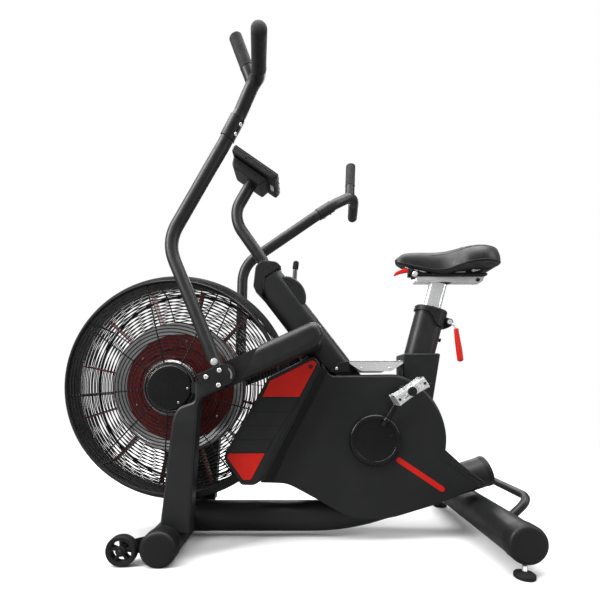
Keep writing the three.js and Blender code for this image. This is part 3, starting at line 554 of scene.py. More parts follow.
def leather(name, dark, light):
    """Synthetic leather: pebbled grain, faint creases and a soft sheen."""
    s = Shader(name)
    s.feed(s.mix(s.spread(s.noise(11, 3), 0, 1), dark, light), "Base Color")
    s.feed(s.spread(s.noise(60, 4), 0.34, 0.5), "Roughness")
    s.bump(s.cells(620), 0.14, 0.0003).bump(s.noise(90, 4, 0.6), 0.06, 0.0008)
    return s.set(Sheen_Weight=0.03, Specular_IOR_Level=0.36).material


COAT = powder_coat("coat", (0.0075, 0.0078, 0.008), (0.012, 0.0124, 0.0128), (0.02, 0.0205, 0.021))
# Dark powder coat; it also colours the flat discs that paint the shade inside the seat post's holes.
COAT_DARK_AND_HOLE_SHADE = powder_coat("coat_dark_and_hole_shade", (0.004, 0.0042, 0.0044), (0.007, 0.0072, 0.0075), (0.02, 0.02, 0.021))
GLOSS_BLACK = glossy("gloss_black", (0.0042, 0.0043, 0.0045), (0.0065, 0.0067, 0.007), (0.2, 0.3))
PLASTIC = moulded("plastic", (0.005, 0.0052, 0.0054), (0.009, 0.0092, 0.0096))
SHELL = moulded("shell", (0.0105, 0.0112, 0.011), (0.0145, 0.0153, 0.015), (0.34, 0.46), 1700, 0.035)
RUBBER = moulded("rubber", (0.004, 0.004, 0.004), (0.008, 0.008, 0.008), (0.62, 0.82), 900, 0.1)
RED = glossy("red", (0.56, 0.01, 0.005), (0.64, 0.013, 0.007), (0.3, 0.4))
MAROON = glossy("maroon", (0.1, 0.0045, 0.004), (0.15, 0.007, 0.006), (0.3, 0.42))
POLISHED = brushed("polished", (0.88, 0.885, 0.89), (0.98, 0.98, 0.985), metallic=0.62)
SATIN = brushed("satin_metal", (0.5, 0.505, 0.51), (0.64, 0.645, 0.65), (0.26, 0.4), (220, 8, 8))
STEEL_DARK = brushed("dark_steel", (0.1, 0.1, 0.102), (0.16, 0.16, 0.163), (0.3, 0.42), (220, 8, 8))
BOLT = brushed("bolt", (0.8, 0.8, 0.8), (0.95, 0.95, 0.95), (0.12, 0.24), (40, 40, 40), 0.6)
WIRE = glossy("wire", (0.008, 0.008, 0.009), (0.014, 0.014, 0.015), (0.22, 0.34))
GRIP = foam("grip", (0.01, 0.0103, 0.0107), (0.019, 0.0195, 0.0202))
LEATHER = leather("saddle_skin", (0.006, 0.0062, 0.0065), (0.01, 0.0103, 0.0107))
SCREEN = glossy("screen", (0.004, 0.005, 0.006), (0.007, 0.008, 0.01), (0.05, 0.1))
WHITE = glossy("white_insert", (0.7, 0.7, 0.69), (0.8, 0.8, 0.79), (0.3, 0.4))

SIDES = (("left", -1), ("right", 1))


def both(name, make, body, slot, *materials, replaces=None, **options):
    """The same shape on the rider's left, as built, and mirrored on the rider's right."""
    for side, sign in SIDES:
        built = make() if sign < 0 else make().mirrored()
        stands_for = tuple(side + "_" + node for node in (replaces or ()))
        target = body if body in frame["bodies"] else side + "_" + body
        built.piece(side + "_" + name, target, slot, *materials, replaces=stands_for, **options)


def finish(node, built, body, slot, *materials, **options):
    """The finished piece that stands in for one CAD node."""
    built.piece(node + "_finish", body, slot, *materials, replaces=(node,), **options)


def finish_pair(node, make, body, slot, *materials, **options):
    """The finished pieces that stand in for a left and a right CAD node."""
    both(node + "_finish", make, body, slot, *materials, replaces=(node,), **options)


def bore(x, z, y0, y1, radius, count):
    """A round bar across the bike, for cutting a hole."""
    return Build().pipe([(x, y0, z), (x, y1, z)], radius, count)


def screw_head(build, centre, axis, radius, height=3.0, mark=0, socket=True):
    """A domed screw head with a hexagon socket."""
    profile = [(radius, 0), (radius, height * 0.4), (radius * 0.92, height * 0.75), (radius * 0.72, height)]
    if socket:
        profile += [(radius * 0.5, height), (radius * 0.46, height * 0.45)]
    build.turned(centre, axis, profile, 18, mark)


SCREW_SINK = 0.4
WASHER = 1.6
RINGED = ((1, 0), (1, 1.0), (0.86, 1.5), (0.66, 1.5), (0.6, 0.9), (0.34, 0.9), (0.3, 0.3), (0, 0.3))
PLAIN = ((1, 0), (1, 1.0), (0.86, 1.5), (0.6, 1.5), (0.5, 0.6), (0, 0.6))


def dark_screw(build, centre, radius, mark=0, profile=RINGED, count=24):
    """A flat screw on a face that looks away from the bike's middle plane."""
    x, y, z = centre
    out = math.copysign(1, y)
    rim = [(radius * share, height) for share, height in profile]
    build.turned((x, y - SCREW_SINK * out, z), (0, out, 0), rim, count, mark)


def hex_bolt(build, centre, axis, radius, height=5.0, mark=0):
    """A hexagon head on a washer."""
    washer = [(radius * 1.35, 0), (radius * 1.35, WASHER), (radius * 0.6, WASHER)]
    build.turned(centre, axis, washer, 24, mark)
    start = Vector(centre) + Vector(axis).normalized() * WASHER
    build.turned(start, axis, [(radius, 0), (radius, height * 0.85), (radius * 0.85, height)], 6, mark)


# ---------- main frame ----------

CRANK = joint_spot("crank_spin")
FAN = joint_spot("fan_spin")
MAIN_TUBE_R = 48.5
POST_TOP = Vector((-102.7, 0, 831.9))
POST_LOW = Vector((424.3, 0, 145.9))
SEAT_TOP = Vector((429.4, 0, 722))
SEAT_LOW = Vector((318, 0, 296))
SEAT_AXIS = (SEAT_TOP - SEAT_LOW).normalized()
POST_AXIS = (POST_TOP - POST_LOW).normalized()


def along_seat(distance):
    return SEAT_TOP + SEAT_AXIS * distance


def stadium(across, along, steps=10):
    r = across / 2
    flat = along / 2 - r
    return arc(0, flat, r, 0, 180, steps) + arc(0, -flat, r, 180, 360, steps)


MAIN_TUBE = ((-345, 0, 60), (150, 0, 60), (600, 0, 203))
MAIN_BEND = 110
POST_SIZE = (60, 104)
SEAT_TUBE_SIZE = (66, 96)


def build_frame():
    """The welded frame, and the moulded cap on the rear end of its main tube."""
    tubes = Build().pipe(bent(MAIN_TUBE, MAIN_BEND, 16), MAIN_TUBE_R, 48)
    tubes.sweep([POST_TOP, POST_LOW], stadium(*POST_SIZE, 14))
    tubes.sweep([SEAT_LOW, SEAT_TOP], stadium(*SEAT_TUBE_SIZE, 14))
    tubes.pipe([(CRANK.x, -50, CRANK.z), (CRANK.x, 50, CRANK.z)], 30, 32)
    finish("main_frame", tubes, "frame", "coat", COAT, angle=30)
    corner_spot, end = Vector(MAIN_TUBE[1]), Vector(MAIN_TUBE[2])
    axis = (end - corner_spot).normalized()
    dome = [(40, -8), (49.5, 0), (49.9, 10), (47.5, 14.5), (43, 16.8), (20, 17.4), (0, 17.6)]
    cap = Build().turned(end + axis * 0.5, axis, dome, 56)
    finish("frame_end_cap", cap, "frame", "plastic", PLASTIC)


build_frame()

# ---------- stabilisers ----------

FRONT = dict(x=-375, z=48, r=47.5, half=240)
REAR = dict(x=578, z=82, r=49, half=294)
BRACKET_Y = 212


def stabiliser(x, z, r, half):
    profile = [(r - 3, 0), (r, 0), (r, 2 * half), (r - 3, 2 * half)]
    return Build().turned((x, -half, z), (0, 1, 0), profile, 64)


def end_cap(x, z, r, half):
    edge = r + 2.5
    profile = [
        (r + 0.2, -26), (edge - 0.7, -26), (edge, -24.5), (edge, 5), (edge - 1.6, 10),
        (edge - 6, 14.2), (edge - 13, 15.6), (18, 16.2), (0, 16.2),
    ]
    return Build().turned((x, -half, z), (0, -1, 0), profile, 64)


def front_stabiliser():
    """The front tube with its two wheel brackets and their axles."""
    tube = stabiliser(**FRONT)
    root = FRONT["x"] - 30
    bracket = round_corners([(root, 22), (root, 74), (-480, 57), (-490, 44), (-484, 30)], 8)
    for sign in (-1, 1):
        y = sign * BRACKET_Y
        tube.slab(bracket, y - 3, y + 3)
        tube.turned((-475, y - sign * 3, 42), (0, sign, 0), [(6, 0), (6, 42), (5, 43)], 20)
    return tube


finish("front_stabiliser", front_stabiliser(), "frame", "coat", COAT, angle=30)
finish("rear_stabiliser", stabiliser(**REAR), "frame", "coat", COAT, angle=30)
both("front_cap_finish", lambda: end_cap(**FRONT), "frame", "plastic", PLASTIC, replaces=("front_end_cap",))
both("rear_cap_finish", lambda: end_cap(**REAR), "frame", "plastic", PLASTIC, replaces=("rear_end_cap",))


def transport_wheel():
    """Marks: 0 tyre, 1 rim, hub and five pairs of spokes."""
    wheel = Build()
    x, y, z = joint_spot("left_wheel_spin")

    def band(half_profile, count, mark):
        """A ring that is the same on both sides of the wheel's middle."""
        near = [(r, y - away) for r, away in half_profile]
        far = [(r, y + away) for r, away in reversed(half_profile)]
        wheel.lathe(x, z, near + far, count, mark)

    band([(31, 11.5), (38, 12.5), (40.5, 10.9), (41.5, 8)], 64, 0)
    band([(28.5, 10.5), (31.5, 11)], 56, 1)
    band([(6.7, 12.5), (12.5, 12.5), (14, 10.5)], 32, 1)
    for i in range(5):
        for split in (-7, 7):
            a = math.radians(72 * i + 18 + split)
            b = math.radians(72 * i + 18 + split * 0.72)
            inner = Vector((x + 12 * math.cos(a), 0, z + 12 * math.sin(a)))
            outer = Vector((x + 30 * math.cos(b), 0, z + 30 * math.sin(b)))
            across = (outer - inner).normalized().cross(Vector((0, 1, 0))) * 2.1
            corners = [(p.x, p.z) for p in (inner - across, outer - across, outer + across, inner + across)]
            wheel.slab(corners, y - 8, y + 8, mark=1)
    return wheel


finish_pair("transport_wheel", transport_wheel, "wheel", "rubber", RUBBER, PLASTIC)


def foot():
    """Marks: 0 rubber pad, 1 threaded stem."""
    pad = Build()
    base = Vector((569, -300, 0))
    pad.turned(base, (0, 0, 1), [(24, 0), (26, 1.5), (26, 8), (24, 11), (12, 13.5), (9, 17)], 40)
    pad.turned(base, (0, 0, 1), [(6, 15), (6, 30)], 16, mark=1)
    for k in range(6):
        thread = base + Vector((0, 0, 18 + 2 * k))
        pad.turned(thread, (0, 0, 1), [(6.0, 0), (6.7, 0.7), (6.0, 1.4)], 16, mark=1)
    return pad


finish_pair("levelling_foot", foot, "foot", "rubber", RUBBER, BOLT)


PULL_HANDLE = [(596, -160, 96), (665, -160, 160), (665, 160, 160), (596, 160, 96)]
finish("pull_handle", Build().pipe(bent(PULL_HANDLE, 44, 12), 12, 28), "frame", "coat", COAT)

# ---------- fork legs, pivot covers and swinging arms ----------

FORK_IN = 145.0
FORK_OUT = 197.0
SLOT_IN = 154.5
ARM_PIVOT = joint_spot("left_arm_swing")
ARM_SWING = 24.1
RISE = 23.5
HUB_CAP_R = 68.0
HUB_CAP_FACE = 139.0


def build_fork():
    """The leg and its rising boom, slotted for the arm's root. Its rounding is tighter on the leg."""
    rise = math.tan(math.radians(RISE))
    outline = drawn(
        (-391, 70), (-356, 376), (-350, 420, -326, 428), (-300, 437), (-292, 441, -292, 450),
        (-292, 494), (-290, 518, -262, 530), (30, 526 + 316 * rise), (62, 668, 70, 630),
        (66, 596, 30, 580), (-270, 580 - 300 * rise), (-283, 440, -284, 388), (-307, 70),
    )
    share = [0.38 if x < -262 and z < 500 else 1.0 for x, z in outline]
    fork = Build().slab(outline, -FORK_OUT, -FORK_IN, 24, 7, 8, share=share)
    room = [(-262, 478), (-170, 478), (-92, 640), (-92, 760), (-400, 760), (-400, 560)]
    fork.carved(
        Build().slab(room, -FORK_OUT - 5, -SLOT_IN),
        bore(FRONT["x"], FRONT["z"], -270, -60, FRONT["r"] + 0.3, 64),
    )
    x0 = FAN.x + HUB_CAP_R
    fork.block((x0, -FORK_IN - 1, FAN.z - 15), (-270, -133, FAN.z + 15))
    fork.slab([(-20, 600), (52, 632), (70, 600), (10, 572)], -FORK_IN - 1, -30.5)
    fork.turned((ARM_PIVOT.x, -FORK_OUT + 0.5, ARM_PIVOT.z), (0, 1, 0), [(9, 0), (9, 45)], 24)
    return fork


def build_pivot_cover():
    """Marks: 0 cover, 1 screws, 2 bright curved mark."""
    tilt = math.radians(RISE)

    def along(d, up):
        return (
            ARM_PIVOT.x + d * math.cos(tilt) - up * math.sin(tilt),
            ARM_PIVOT.z + d * math.sin(tilt) + up * math.cos(tilt),
        )

    end_arc = arc(*along(14, 0), 30, RISE - 90, RISE + 90, 20)
    plate = [along(-52, -30)] + end_arc + [along(-52, 30)]
    front = -FORK_OUT - 4
    cover = Build().slab(plate, front, -FORK_OUT - 0.2, 1.2, 0)
    groove = arc(*along(10, 0), 26, RISE - 52, RISE + 34, 14)
    groove += arc(*along(10, 0), 20, RISE + 28, RISE - 44, 14)
    cover.carved(Build().slab(groove, front - 1, front + 2.2))
    cover.slab(inset(groove, 0.6), front + 1.6, front + 2.4, mark=2)
    for x, z in ((-221, 526), (-258, 508), (-223, 485)):
        screw_head(cover, (x, front, z), (0, -1, 0), 6.5, 3, mark=1)
    return cover


finish_pair("fork", build_fork, "frame", "coat", COAT, angle=40)
finish_pair("pivot_cover", build_pivot_cover, "frame", "plastic", PLASTIC, BOLT, SATIN)

TUBE_R = 19.0
ARM = dict(
    bend=Vector((-74, -162, 410)),
    collar=Vector((156, -175, 657)),
    seam=Vector((200, -183, 704)),
    neck=Vector((259, -212, 765)),
    outer_start=Vector((280, -258, 765)),
    outer_end=Vector((292, -372, 763)),
    upper_end=Vector((239, -225, 885)),
)
COLLAR_AXIS = (ARM["seam"] - ARM["collar"]).normalized()
OUTER_AXIS = (ARM["outer_end"] - ARM["outer_start"]).normalized()
UPPER_START = ARM["neck"].lerp(ARM["upper_end"], 0.34)
GRIP_BORE_R = 14


def build_arm_tube():
    """The arm about its pivot, upright. Marks: 1 bolt."""
    path = [(0, -177, 0), ARM["bend"], ARM["collar"] - COLLAR_AXIS * 18, ARM["collar"]]
    tube = Build().pipe(bent(path, 60, 20), TUBE_R, 40)
    tube.turned((0, -194, 0), (0, 1, 0), [(22, 0), (24, 2), (24, 32), (22, 34)], 40)
    tube.carved(bore(0, 0, -200, -150, 9.6, 24))
    low = Vector((0, -177, 0)).lerp(ARM["bend"], 0.108)
    hex_bolt(tube, low + Vector((0, -18.6, 0)), (0, -1, 0), 7.5, 5, mark=1)
    return tube


def build_collar():
    """The sleeve that joins the arm to its handlebar. Marks: 1 screws."""
    collar = Build()
    start, end = ARM["collar"], ARM["seam"]
    length = (end - start).length
    r = TUBE_R + 2.5
    profile = [(r - 1.5, 0.3), (r, 1.8), (r, length - 1.5), (r - 1.5, length)]
    collar.turned(start, COLLAR_AXIS, profile, 48)
    across = COLLAR_AXIS.cross(Vector((0, -1, 0))).normalized()
    for share in (0.28, 0.72):
        spot = start.lerp(end, share)
        out = (Vector((0, -1, 0)) * 0.5 + across).normalized()
        screw_head(collar, spot + out * (r - 0.4), out, 5.2, 3, mark=1)
    return collar


def build_handlebar():
    """The stem, its stub for the upper grip, and the thin bars inside both grips."""
    bar = Build()
    stem = [
        ARM["seam"] + COLLAR_AXIS * 0.3, ARM["seam"] + COLLAR_AXIS * 14, ARM["neck"],
        ARM["outer_start"] - OUTER_AXIS * 24, ARM["outer_start"],
    ]
    bar.pipe(bent(stem, 40, 14), TUBE_R, 40)
    bar.pipe([ARM["neck"], UPPER_START], TUBE_R - 1, 36)
    bar.pipe([ARM["outer_start"] - OUTER_AXIS * 6, ARM["outer_end"]], GRIP_BORE_R, 20)
    bar.pipe([UPPER_START.lerp(ARM["neck"], 0.2), ARM["upper_end"]], GRIP_BORE_R, 20)
    return bar


def build_grip(start, end, radius):
    """A foam sleeve with a rolled cuff at its root and a domed tip."""
    axis = (end - start).normalized()
    length = (end - start).length
    reach = radius * 0.45
    profile = [(radius - 1.2, 0.3), (radius + 0.6, 1.4), (radius + 0.8, 4.5), (radius, 7)]
    profile.append((radius, length - 2))
    for k in range(1, 8):
        t = math.radians(90 * k / 7)
        profile.append((radius * math.cos(t), length - 2 + reach * math.sin(t)))
    return Build().turned(start, axis, profile, 40)


def build_arms():
    outer_tip = ARM["outer_end"].lerp(ARM["outer_start"], -0.04)
    upper_tip = ARM["upper_end"].lerp(UPPER_START, -0.05)
    parts = (
        ("arm", build_arm_tube, "coat", (COAT, BOLT)),
        ("arm_collar", build_collar, "coat", (COAT_DARK_AND_HOLE_SHADE, BOLT)),
        ("handlebar", build_handlebar, "coat", (COAT,)),
        ("outer_grip", lambda: build_grip(ARM["outer_start"], outer_tip, 19.5), "grip", (GRIP,)),
        ("upper_grip", lambda: build_grip(UPPER_START, upper_tip, 18.0), "grip", (GRIP,)),
    )
    for side, sign in SIDES:
        turn = Matrix.Rotation(math.radians(sign * ARM_SWING / 2), 4, "Y")
        place = Matrix.Translation((ARM_PIVOT.x, 0, ARM_PIVOT.z)) @ turn
        for name, make, slot, looks in parts:
            built = make() if sign < 0 else make().mirrored()
            finish(f"{side}_{name}", built.moved(place), side + "_arm", slot, *looks, angle=40)


build_arms()

# ---------- fan and its cage ----------

CAGE_R = 357.0
CAGE_SIDE_R = 330.0
CAGE_HALF = 97.0
GUARD_BULGE = 33.0
RING_PITCH = 10.2
RIB_ANGLES = [24.5 + 40 * i for i in range(9)]


def guard_y(r):
    return CAGE_HALF + GUARD_BULGE * (1 - (r / CAGE_SIDE_R) ** 2)


def around(r, degrees, y):
    a = math.radians(degrees)
    return Vector((FAN.x + r * math.cos(a), y, FAN.z + r * math.sin(a)))


def crown(y):
    return CAGE_R - (CAGE_R - CAGE_SIDE_R) * abs(y / CAGE_HALF) ** 2.4


def build_rim():
    """Crowned hoops, close together in the middle and wider apart at the sides, held by cross bars."""
    rim = Build()
    close, wide, wire = 6.4, 9.6, 2.1
    stops = [close * k for k in range(-12, 13)]
    stops += [sign * (stops[-1] + wide * k) for k in (1, 2, 3) for sign in (-1, 1)]
    for y in stops:
        rim.hoop(FAN.x, FAN.z, crown(y) - wire, y, wire, 144, 6)
    for angle in RIB_ANGLES:
        path = [around(crown(v) - 5.5, angle, v) for v in (-94, -78, -60, -40, -20, 0, 20, 40, 60, 78, 94)]
        rim.pipe(path, 3.0, 10)
    slot = Build().block((FAN.x + 230, 50, FAN.z - 300), (FAN.x + 365, 75, FAN.z + 60))
    return rim.carved(slot)


def build_guard():
    """A dished side guard: rings at an even pitch between two thick hoops, on radial wires."""
    wires = Build()
    r = HUB_CAP_R + 6
    while r < CAGE_SIDE_R - 8:
        wires.hoop(FAN.x, FAN.z, r, -guard_y(r), 1.8, 112, 6)
        r += RING_PITCH
    wires.hoop(FAN.x, FAN.z, CAGE_SIDE_R - 7, -guard_y(CAGE_SIDE_R - 7) - 1, 3.6, 128, 8)
    wires.hoop(FAN.x, FAN.z, HUB_CAP_R + 5, -guard_y(HUB_CAP_R + 5), 3.2, 80, 8)
    for angle in RIB_ANGLES:
        radii = [HUB_CAP_R + 3, 110, 150, 190, 230, 270, 300, CAGE_SIDE_R - 6]
        wires.pipe([around(a, angle, -guard_y(a) + 3.4) for a in radii], 2.1, 8)
    return wires


def build_hub_cap():
    """Marks: 1 screws."""
    back = guard_y(HUB_CAP_R) - 12
    r, face = HUB_CAP_R, HUB_CAP_FACE
    cap = Build().turned((FAN.x, -back, FAN.z), (0, -1, 0), [
        (10.5, 0), (r, 0), (r, face - back - 8), (r - 1.2, face - back - 4), (r - 4, face - back - 1.2),
        (r - 8, face - back), (0, face - back + 0.6),
    ], 96)
    for degrees, reach in ((-2, 55), (-57, 52)):
        spot = around(reach, degrees, -face - 0.3)
        screw_head(cap, spot, (0, -1, 0), 3.6, 1.6, mark=1)
    return cap


def build_hub_cone():
    """Bright ring that steps down from the guard to the hub cap."""
    return Build().lathe(FAN.x, FAN.z, [
        (84, -110), (84.5, -112), (71, -129), (69, -129.5), (68.8, -127), (82, -109.5),
    ], 96)


finish("cage_rim", build_rim(), "frame", "coat", COAT, angle=50)
finish_pair("guard", build_guard, "frame", "wire", WIRE, angle=60)
finish_pair("hub_cap", build_hub_cap, "frame", "plastic", GLOSS_BLACK, SATIN)
both("hub_cone", build_hub_cone, "frame", "polished", SATIN)
from_node("fan_axle", POLISHED, 1.0)

BLADES = 12
FAN_DISC_R = 172.0
FAN_FLANGE_R = 196.0
FAN_RING_R = 206.0
BLADE_TIP_R = 318.0
BLADE_BOW = ((-28, 0.0), (-20, 1.4), (-5, 2.2), (10, 1.2), (18, 0.0))  # y, curve of the blade


def build_fan():
    """A ribbed disc, its flange and ring, the hub and the blades. Marks: 0 deep red, 1 bright metal."""
    fan = Build()
    x, z = FAN.x, FAN.z
    disc = [(38, -29), (FAN_DISC_R - 2, -29), (FAN_DISC_R, -27), (FAN_DISC_R - 2, -25), (38, -25)]
    fan.lathe(x, z, disc, 96)
    for r in (62, 96, 130):
        fan.lathe(x, z, [(r - 5, -29), (r - 3, -32), (r + 3, -32), (r + 5, -29), (r, -27)], 96)
    fan.lathe(x, z, [
        (FAN_DISC_R - 1, -29), (FAN_FLANGE_R, -38), (FAN_FLANGE_R + 1, -36), (FAN_DISC_R + 1, -26),
    ], 96, mark=1)
    fan.lathe(x, z, [
        (FAN_FLANGE_R, -46), (FAN_RING_R - 2, -46), (FAN_RING_R - 2, 17), (FAN_FLANGE_R, 17),
        (FAN_FLANGE_R, 15), (FAN_RING_R - 4, 15), (FAN_RING_R - 4, -44), (FAN_FLANGE_R, -44),
    ], 96, mark=1)
    fan.lathe(x, z, [
        (FAN_RING_R - 1.5, -44), (FAN_RING_R, -44), (FAN_RING_R, 16), (FAN_RING_R - 1.5, 16),
    ], 96)
    fan.lathe(x, z, [(12, -75), (36, -75), (40, -71), (40, 48), (36, 52), (12, 52)], 48, mark=1)
    for i in range(BLADES):
        degrees = 17.5 + 30 * i
        root = around(FAN_RING_R - 4, degrees, 0)
        tip = around(BLADE_TIP_R, degrees, 0)
        side = (tip - root).normalized().cross(Vector((0, 1, 0)))
        loop = [(y, bow + 1.2) for y, bow in BLADE_BOW] + [(y, bow - 1.2) for y, bow in reversed(BLADE_BOW)]
        spots = (root, root.lerp(tip, 0.5), tip)
        fan.rings([[spot + Vector((0, y, 0)) + side * bow for y, bow in loop] for spot in spots])
        for k in (0.08, 0.2):
            screw_head(fan, root.lerp(tip, k) + side * 3.0, side, 3.4, 2, mark=1, socket=False)
    for i in range(6):
        screw_head(fan, around(150, 60 * i + 22, -29), (0, -1, 0), 4.2, 2.4, mark=1)
    return fan


finish("fan_wheel", build_fan(), "fan", "maroon", MAROON, SATIN, angle=35)


def build_pulley(centre, radius, inner_r, holes=0):
    """A ribbed belt pulley, with round holes through the web of a large one."""
    y0, y1 = 53, 71
    wheel = Build()
    grooves = [(inner_r, y0), (radius + 4, y0), (radius + 4, y0 + 2)]
    y = y0 + 2.2
    while y < y1 - 3:
        grooves += [(radius, y), (radius - 1.2, y + 0.9), (radius, y + 1.8)]
        y += 2.0
    grooves += [(radius, y1 - 2.2), (radius + 4, y1 - 2), (radius + 4, y1), (inner_r, y1)]
    wheel.lathe(centre.x, centre.z, grooves, 96)
    if holes:
        spots = arc(centre.x, centre.z, 80, 0, 360 - 360 / holes, holes - 1)
        wheel.carved(*[bore(x, z, y0 - 5, y1 + 5, 26, 32) for x, z in spots])
    return wheel


FAN_PULLEY_R = 27.0
CRANK_PULLEY_R = 135.0


def build_belt():
    """A flat belt round both pulleys, on the lines that touch them."""
    gap = CRANK - FAN
    line = math.degrees(math.atan2(gap.z, gap.x))
    tilt = math.degrees(math.acos((CRANK_PULLEY_R - FAN_PULLEY_R) / math.hypot(gap.x, gap.z)))

    def loop(grow):
        big = arc(CRANK.x, CRANK.z, CRANK_PULLEY_R + grow, line - 180 + tilt, line + 180 - tilt, 72)
        return big + arc(FAN.x, FAN.z, FAN_PULLEY_R + grow, line + 180 - tilt, line + 180 + tilt, 24)

    belt = Build().slab(loop(3.3), 56, 68, 0.6, 0.6, 2)
    return belt.carved(Build().slab(loop(0.9), 50, 74))


finish("fan_pulley", build_pulley(FAN, FAN_PULLEY_R, 12), "fan", "polished", SATIN)
finish("crank_pulley", build_pulley(CRANK, CRANK_PULLEY_R, 12.3, 5), "crank", "plastic", PLASTIC)
finish("drive_belt", build_belt(), "frame", "rubber", RUBBER)

# ---------- cranks and pedals ----------

CRANK_LENGTH = 170.0
CRANK_ANGLE = 63.4
CRANK_TIP = Matrix.Rotation(math.radians(-CRANK_ANGLE), 3, "Y") @ Vector((CRANK_LENGTH, 0, 0))
PEDAL_ANGLE = -33.0
PEDAL = dict(y0=-214.0, y1=-136.0, reach=48.0, root=13.0, tip=17.0, teeth=12)


def build_crank():
    """The left crank about its axle: a round cover and a round arm. Marks: 1 spindle."""
    crank = Build().turned((0, -75.8, 0), (0, -1, 0), [
        (12.5, 0), (73, 0), (74, 2), (79.5, 3), (80, 5), (78.5, 8.5), (74, 11.6), (68, 12.6), (65, 11.2),
        (64, 9.4), (0, 9.2),
    ], 96)
    direction = CRANK_TIP.normalized()
    foot, root = direction * 52 + Vector((0, -90, 0)), direction * 76 + Vector((0, -96, 0))
    crank.pipe(bent([foot, root, CRANK_TIP + Vector((0, -114, 0))], 30, 6), 9.5, 28)
    crank.turned(direction * 66 + Vector((0, -93.6, 0)), direction + Vector((0, -0.2, 0)), [
        (9.7, 0), (12.5, 1.5), (13, 5), (11.5, 9), (9.7, 11),
    ], 28)
    crank.turned((CRANK_TIP.x, -103, CRANK_TIP.z), (0, -1, 0), [(15, 0), (17, 2), (17, 19), (15, 21.5)], 40)
    crank.turned((CRANK_TIP.x, -120, CRANK_TIP.z), (0, -1, 0), [(7, 0), (7, 88)], 20, mark=1)
    screw_head(crank, (50, -84.8, 14), (0, -1, 0), 3.0, 1.4, mark=0)
    return crank


def build_pedal():
    """A cage pedal about its spindle: barrel, toothed plates, cross plates and bars. Marks: 1 screws."""
    y0, y1, reach, root, tip, count = PEDAL.values()
    pedal = Build().lathe(0, 0, [
        (7.6, y0 + 4), (12, y0 + 2), (13, y0 + 8), (15, -178), (15, -172), (13, y1 - 6), (12, y1), (7.6, y1),
    ], 32)
    upper = []
    for i in range(count):
        a = y0 + 4 + (y1 - y0 - 8) * i / count
        b = y0 + 4 + (y1 - y0 - 8) * (i + 0.5) / count
        upper += [(a, root), (a + 1.6, tip), (b - 1.6, tip), (b, root)]
    upper.append((y1 - 4, root))
    toothed = upper + [(y, -z) for y, z in reversed(upper)]
    for low, high in ((-reach, -reach + 2.4), (reach - 2.4, reach)):
        pedal.rings([[(x, y, z) for y, z in toothed] for x in (low, high)])
    plates = (
        (y1 - 4, y1 - 1.5, 0.75),
        (y0 + 1.5, y0 + 4.5, 0.75),
        ((y0 + y1) / 2 - 1.5, (y0 + y1) / 2 + 1.5, 0.62),
    )
    for ya, yb, share in plates:
        outline = round_corners([
            (-reach, -15), (-14, -tip * share), (14, -tip * share), (reach, -15),
            (reach, 15), (14, tip * share), (-14, tip * share), (-reach, 15),
        ], 4)
        windows = [Build().block((x - 10, ya - 2, -7), (x + 10, yb + 2, 7)) for x in (-24, 24)]
        pedal.merged(Build().slab(outline, ya, yb, 0.5, 0.5, 2).carved(*windows))
    for x, z in ((-31, 6), (-31, -6), (31, 6), (31, -6)):
        pedal.pipe([(x, y0 + 4, z), (x, y1 - 4, z)], 3.2, 12)
    pedal.turned((0, y0 + 3, 0), (0, -1, 0), [(13, 0), (13, 3), (11.5, 4.4), (0, 4.8)], 32, mark=1)
    for x in (-41, 41):
        screw_head(pedal, (x, y0 + 1.6, 0), (0, -1, 0), 4, 2.2, mark=1)
    return pedal


def build_cranks():
    """The right crank is the left one turned half a turn and mirrored."""
    for side, sign in SIDES:
        crank = build_crank()
        pedal = build_pedal()
        tip = CRANK_TIP
        if sign > 0:
            crank = crank.moved(Matrix.Rotation(math.pi, 4, "Y")).mirrored()
            pedal = pedal.mirrored()
            tip = -CRANK_TIP
        crank.moved(Matrix.Translation((CRANK.x, 0, CRANK.z)))
        finish(side + "_crank", crank, "crank", "coat", GLOSS_BLACK, BOLT, angle=40)
        spot = Matrix.Translation((CRANK.x + tip.x, 0, CRANK.z + tip.z))
        pedal.moved(spot @ Matrix.Rotation(math.radians(PEDAL_ANGLE), 4, "Y"))
        finish(side + "_pedal", pedal, side + "_pedal", "polished", POLISHED, PLASTIC, bevel=0.5, angle=40)


build_cranks()
from_node("crank_axle", POLISHED, 1.0)

# ---------- moulded covers ----------

SHROUD_HALF = 75.0
SHROUD_WALL = 4.5
PANEL_FACE = 118.0
CLEAR = 1.2


def framework(grow):
    """The main tube, the post and the seat tube, grown by a clearance, for cutting the covers round them."""
    post = [size + 2 * grow for size in POST_SIZE]
    seat_tube = [size + 2 * grow for size in SEAT_TUBE_SIZE]
    return (
        Build().pipe(bent(MAIN_TUBE, MAIN_BEND, 16), MAIN_TUBE_R + grow, 40),
        Build().sweep([POST_TOP + POST_AXIS * grow, POST_LOW], stadium(*post, 12)),
        Build().sweep([SEAT_LOW, SEAT_TOP + SEAT_AXIS * grow], stadium(*seat_tube, 10)),
    )


SHROUD_REAR_R = 221.0
SHROUD_SCREWS = ((-95, 204), (242, 87), (444, 302), (554, 178))
SHROUD_TOP = [(71, 554), (96, 517), (312, 520)]
SHROUD_REST = [
    (498, 245), (581, 181), (544, 164), (439, 121), (269, 69), (167, 73), (127, 91), (53, 134),
    (3, 161), (-38, 182), (-121, 184), (-104, 214),
]


def shroud_outline():
    """The shroud from the side: round about the crank at the rear, and low along the main tube."""
    rear = arc(CRANK.x, CRANK.z, SHROUD_REAR_R, 56, -8, 26)
    points = SHROUD_TOP + rear + SHROUD_REST
    radii = [3, 14, 60] + [0] * len(rear) + [10, 4, 20, 30, 60, 40, 30, 20, 30, 26, 6, 3]
    return round_corners(points, radii, 6)


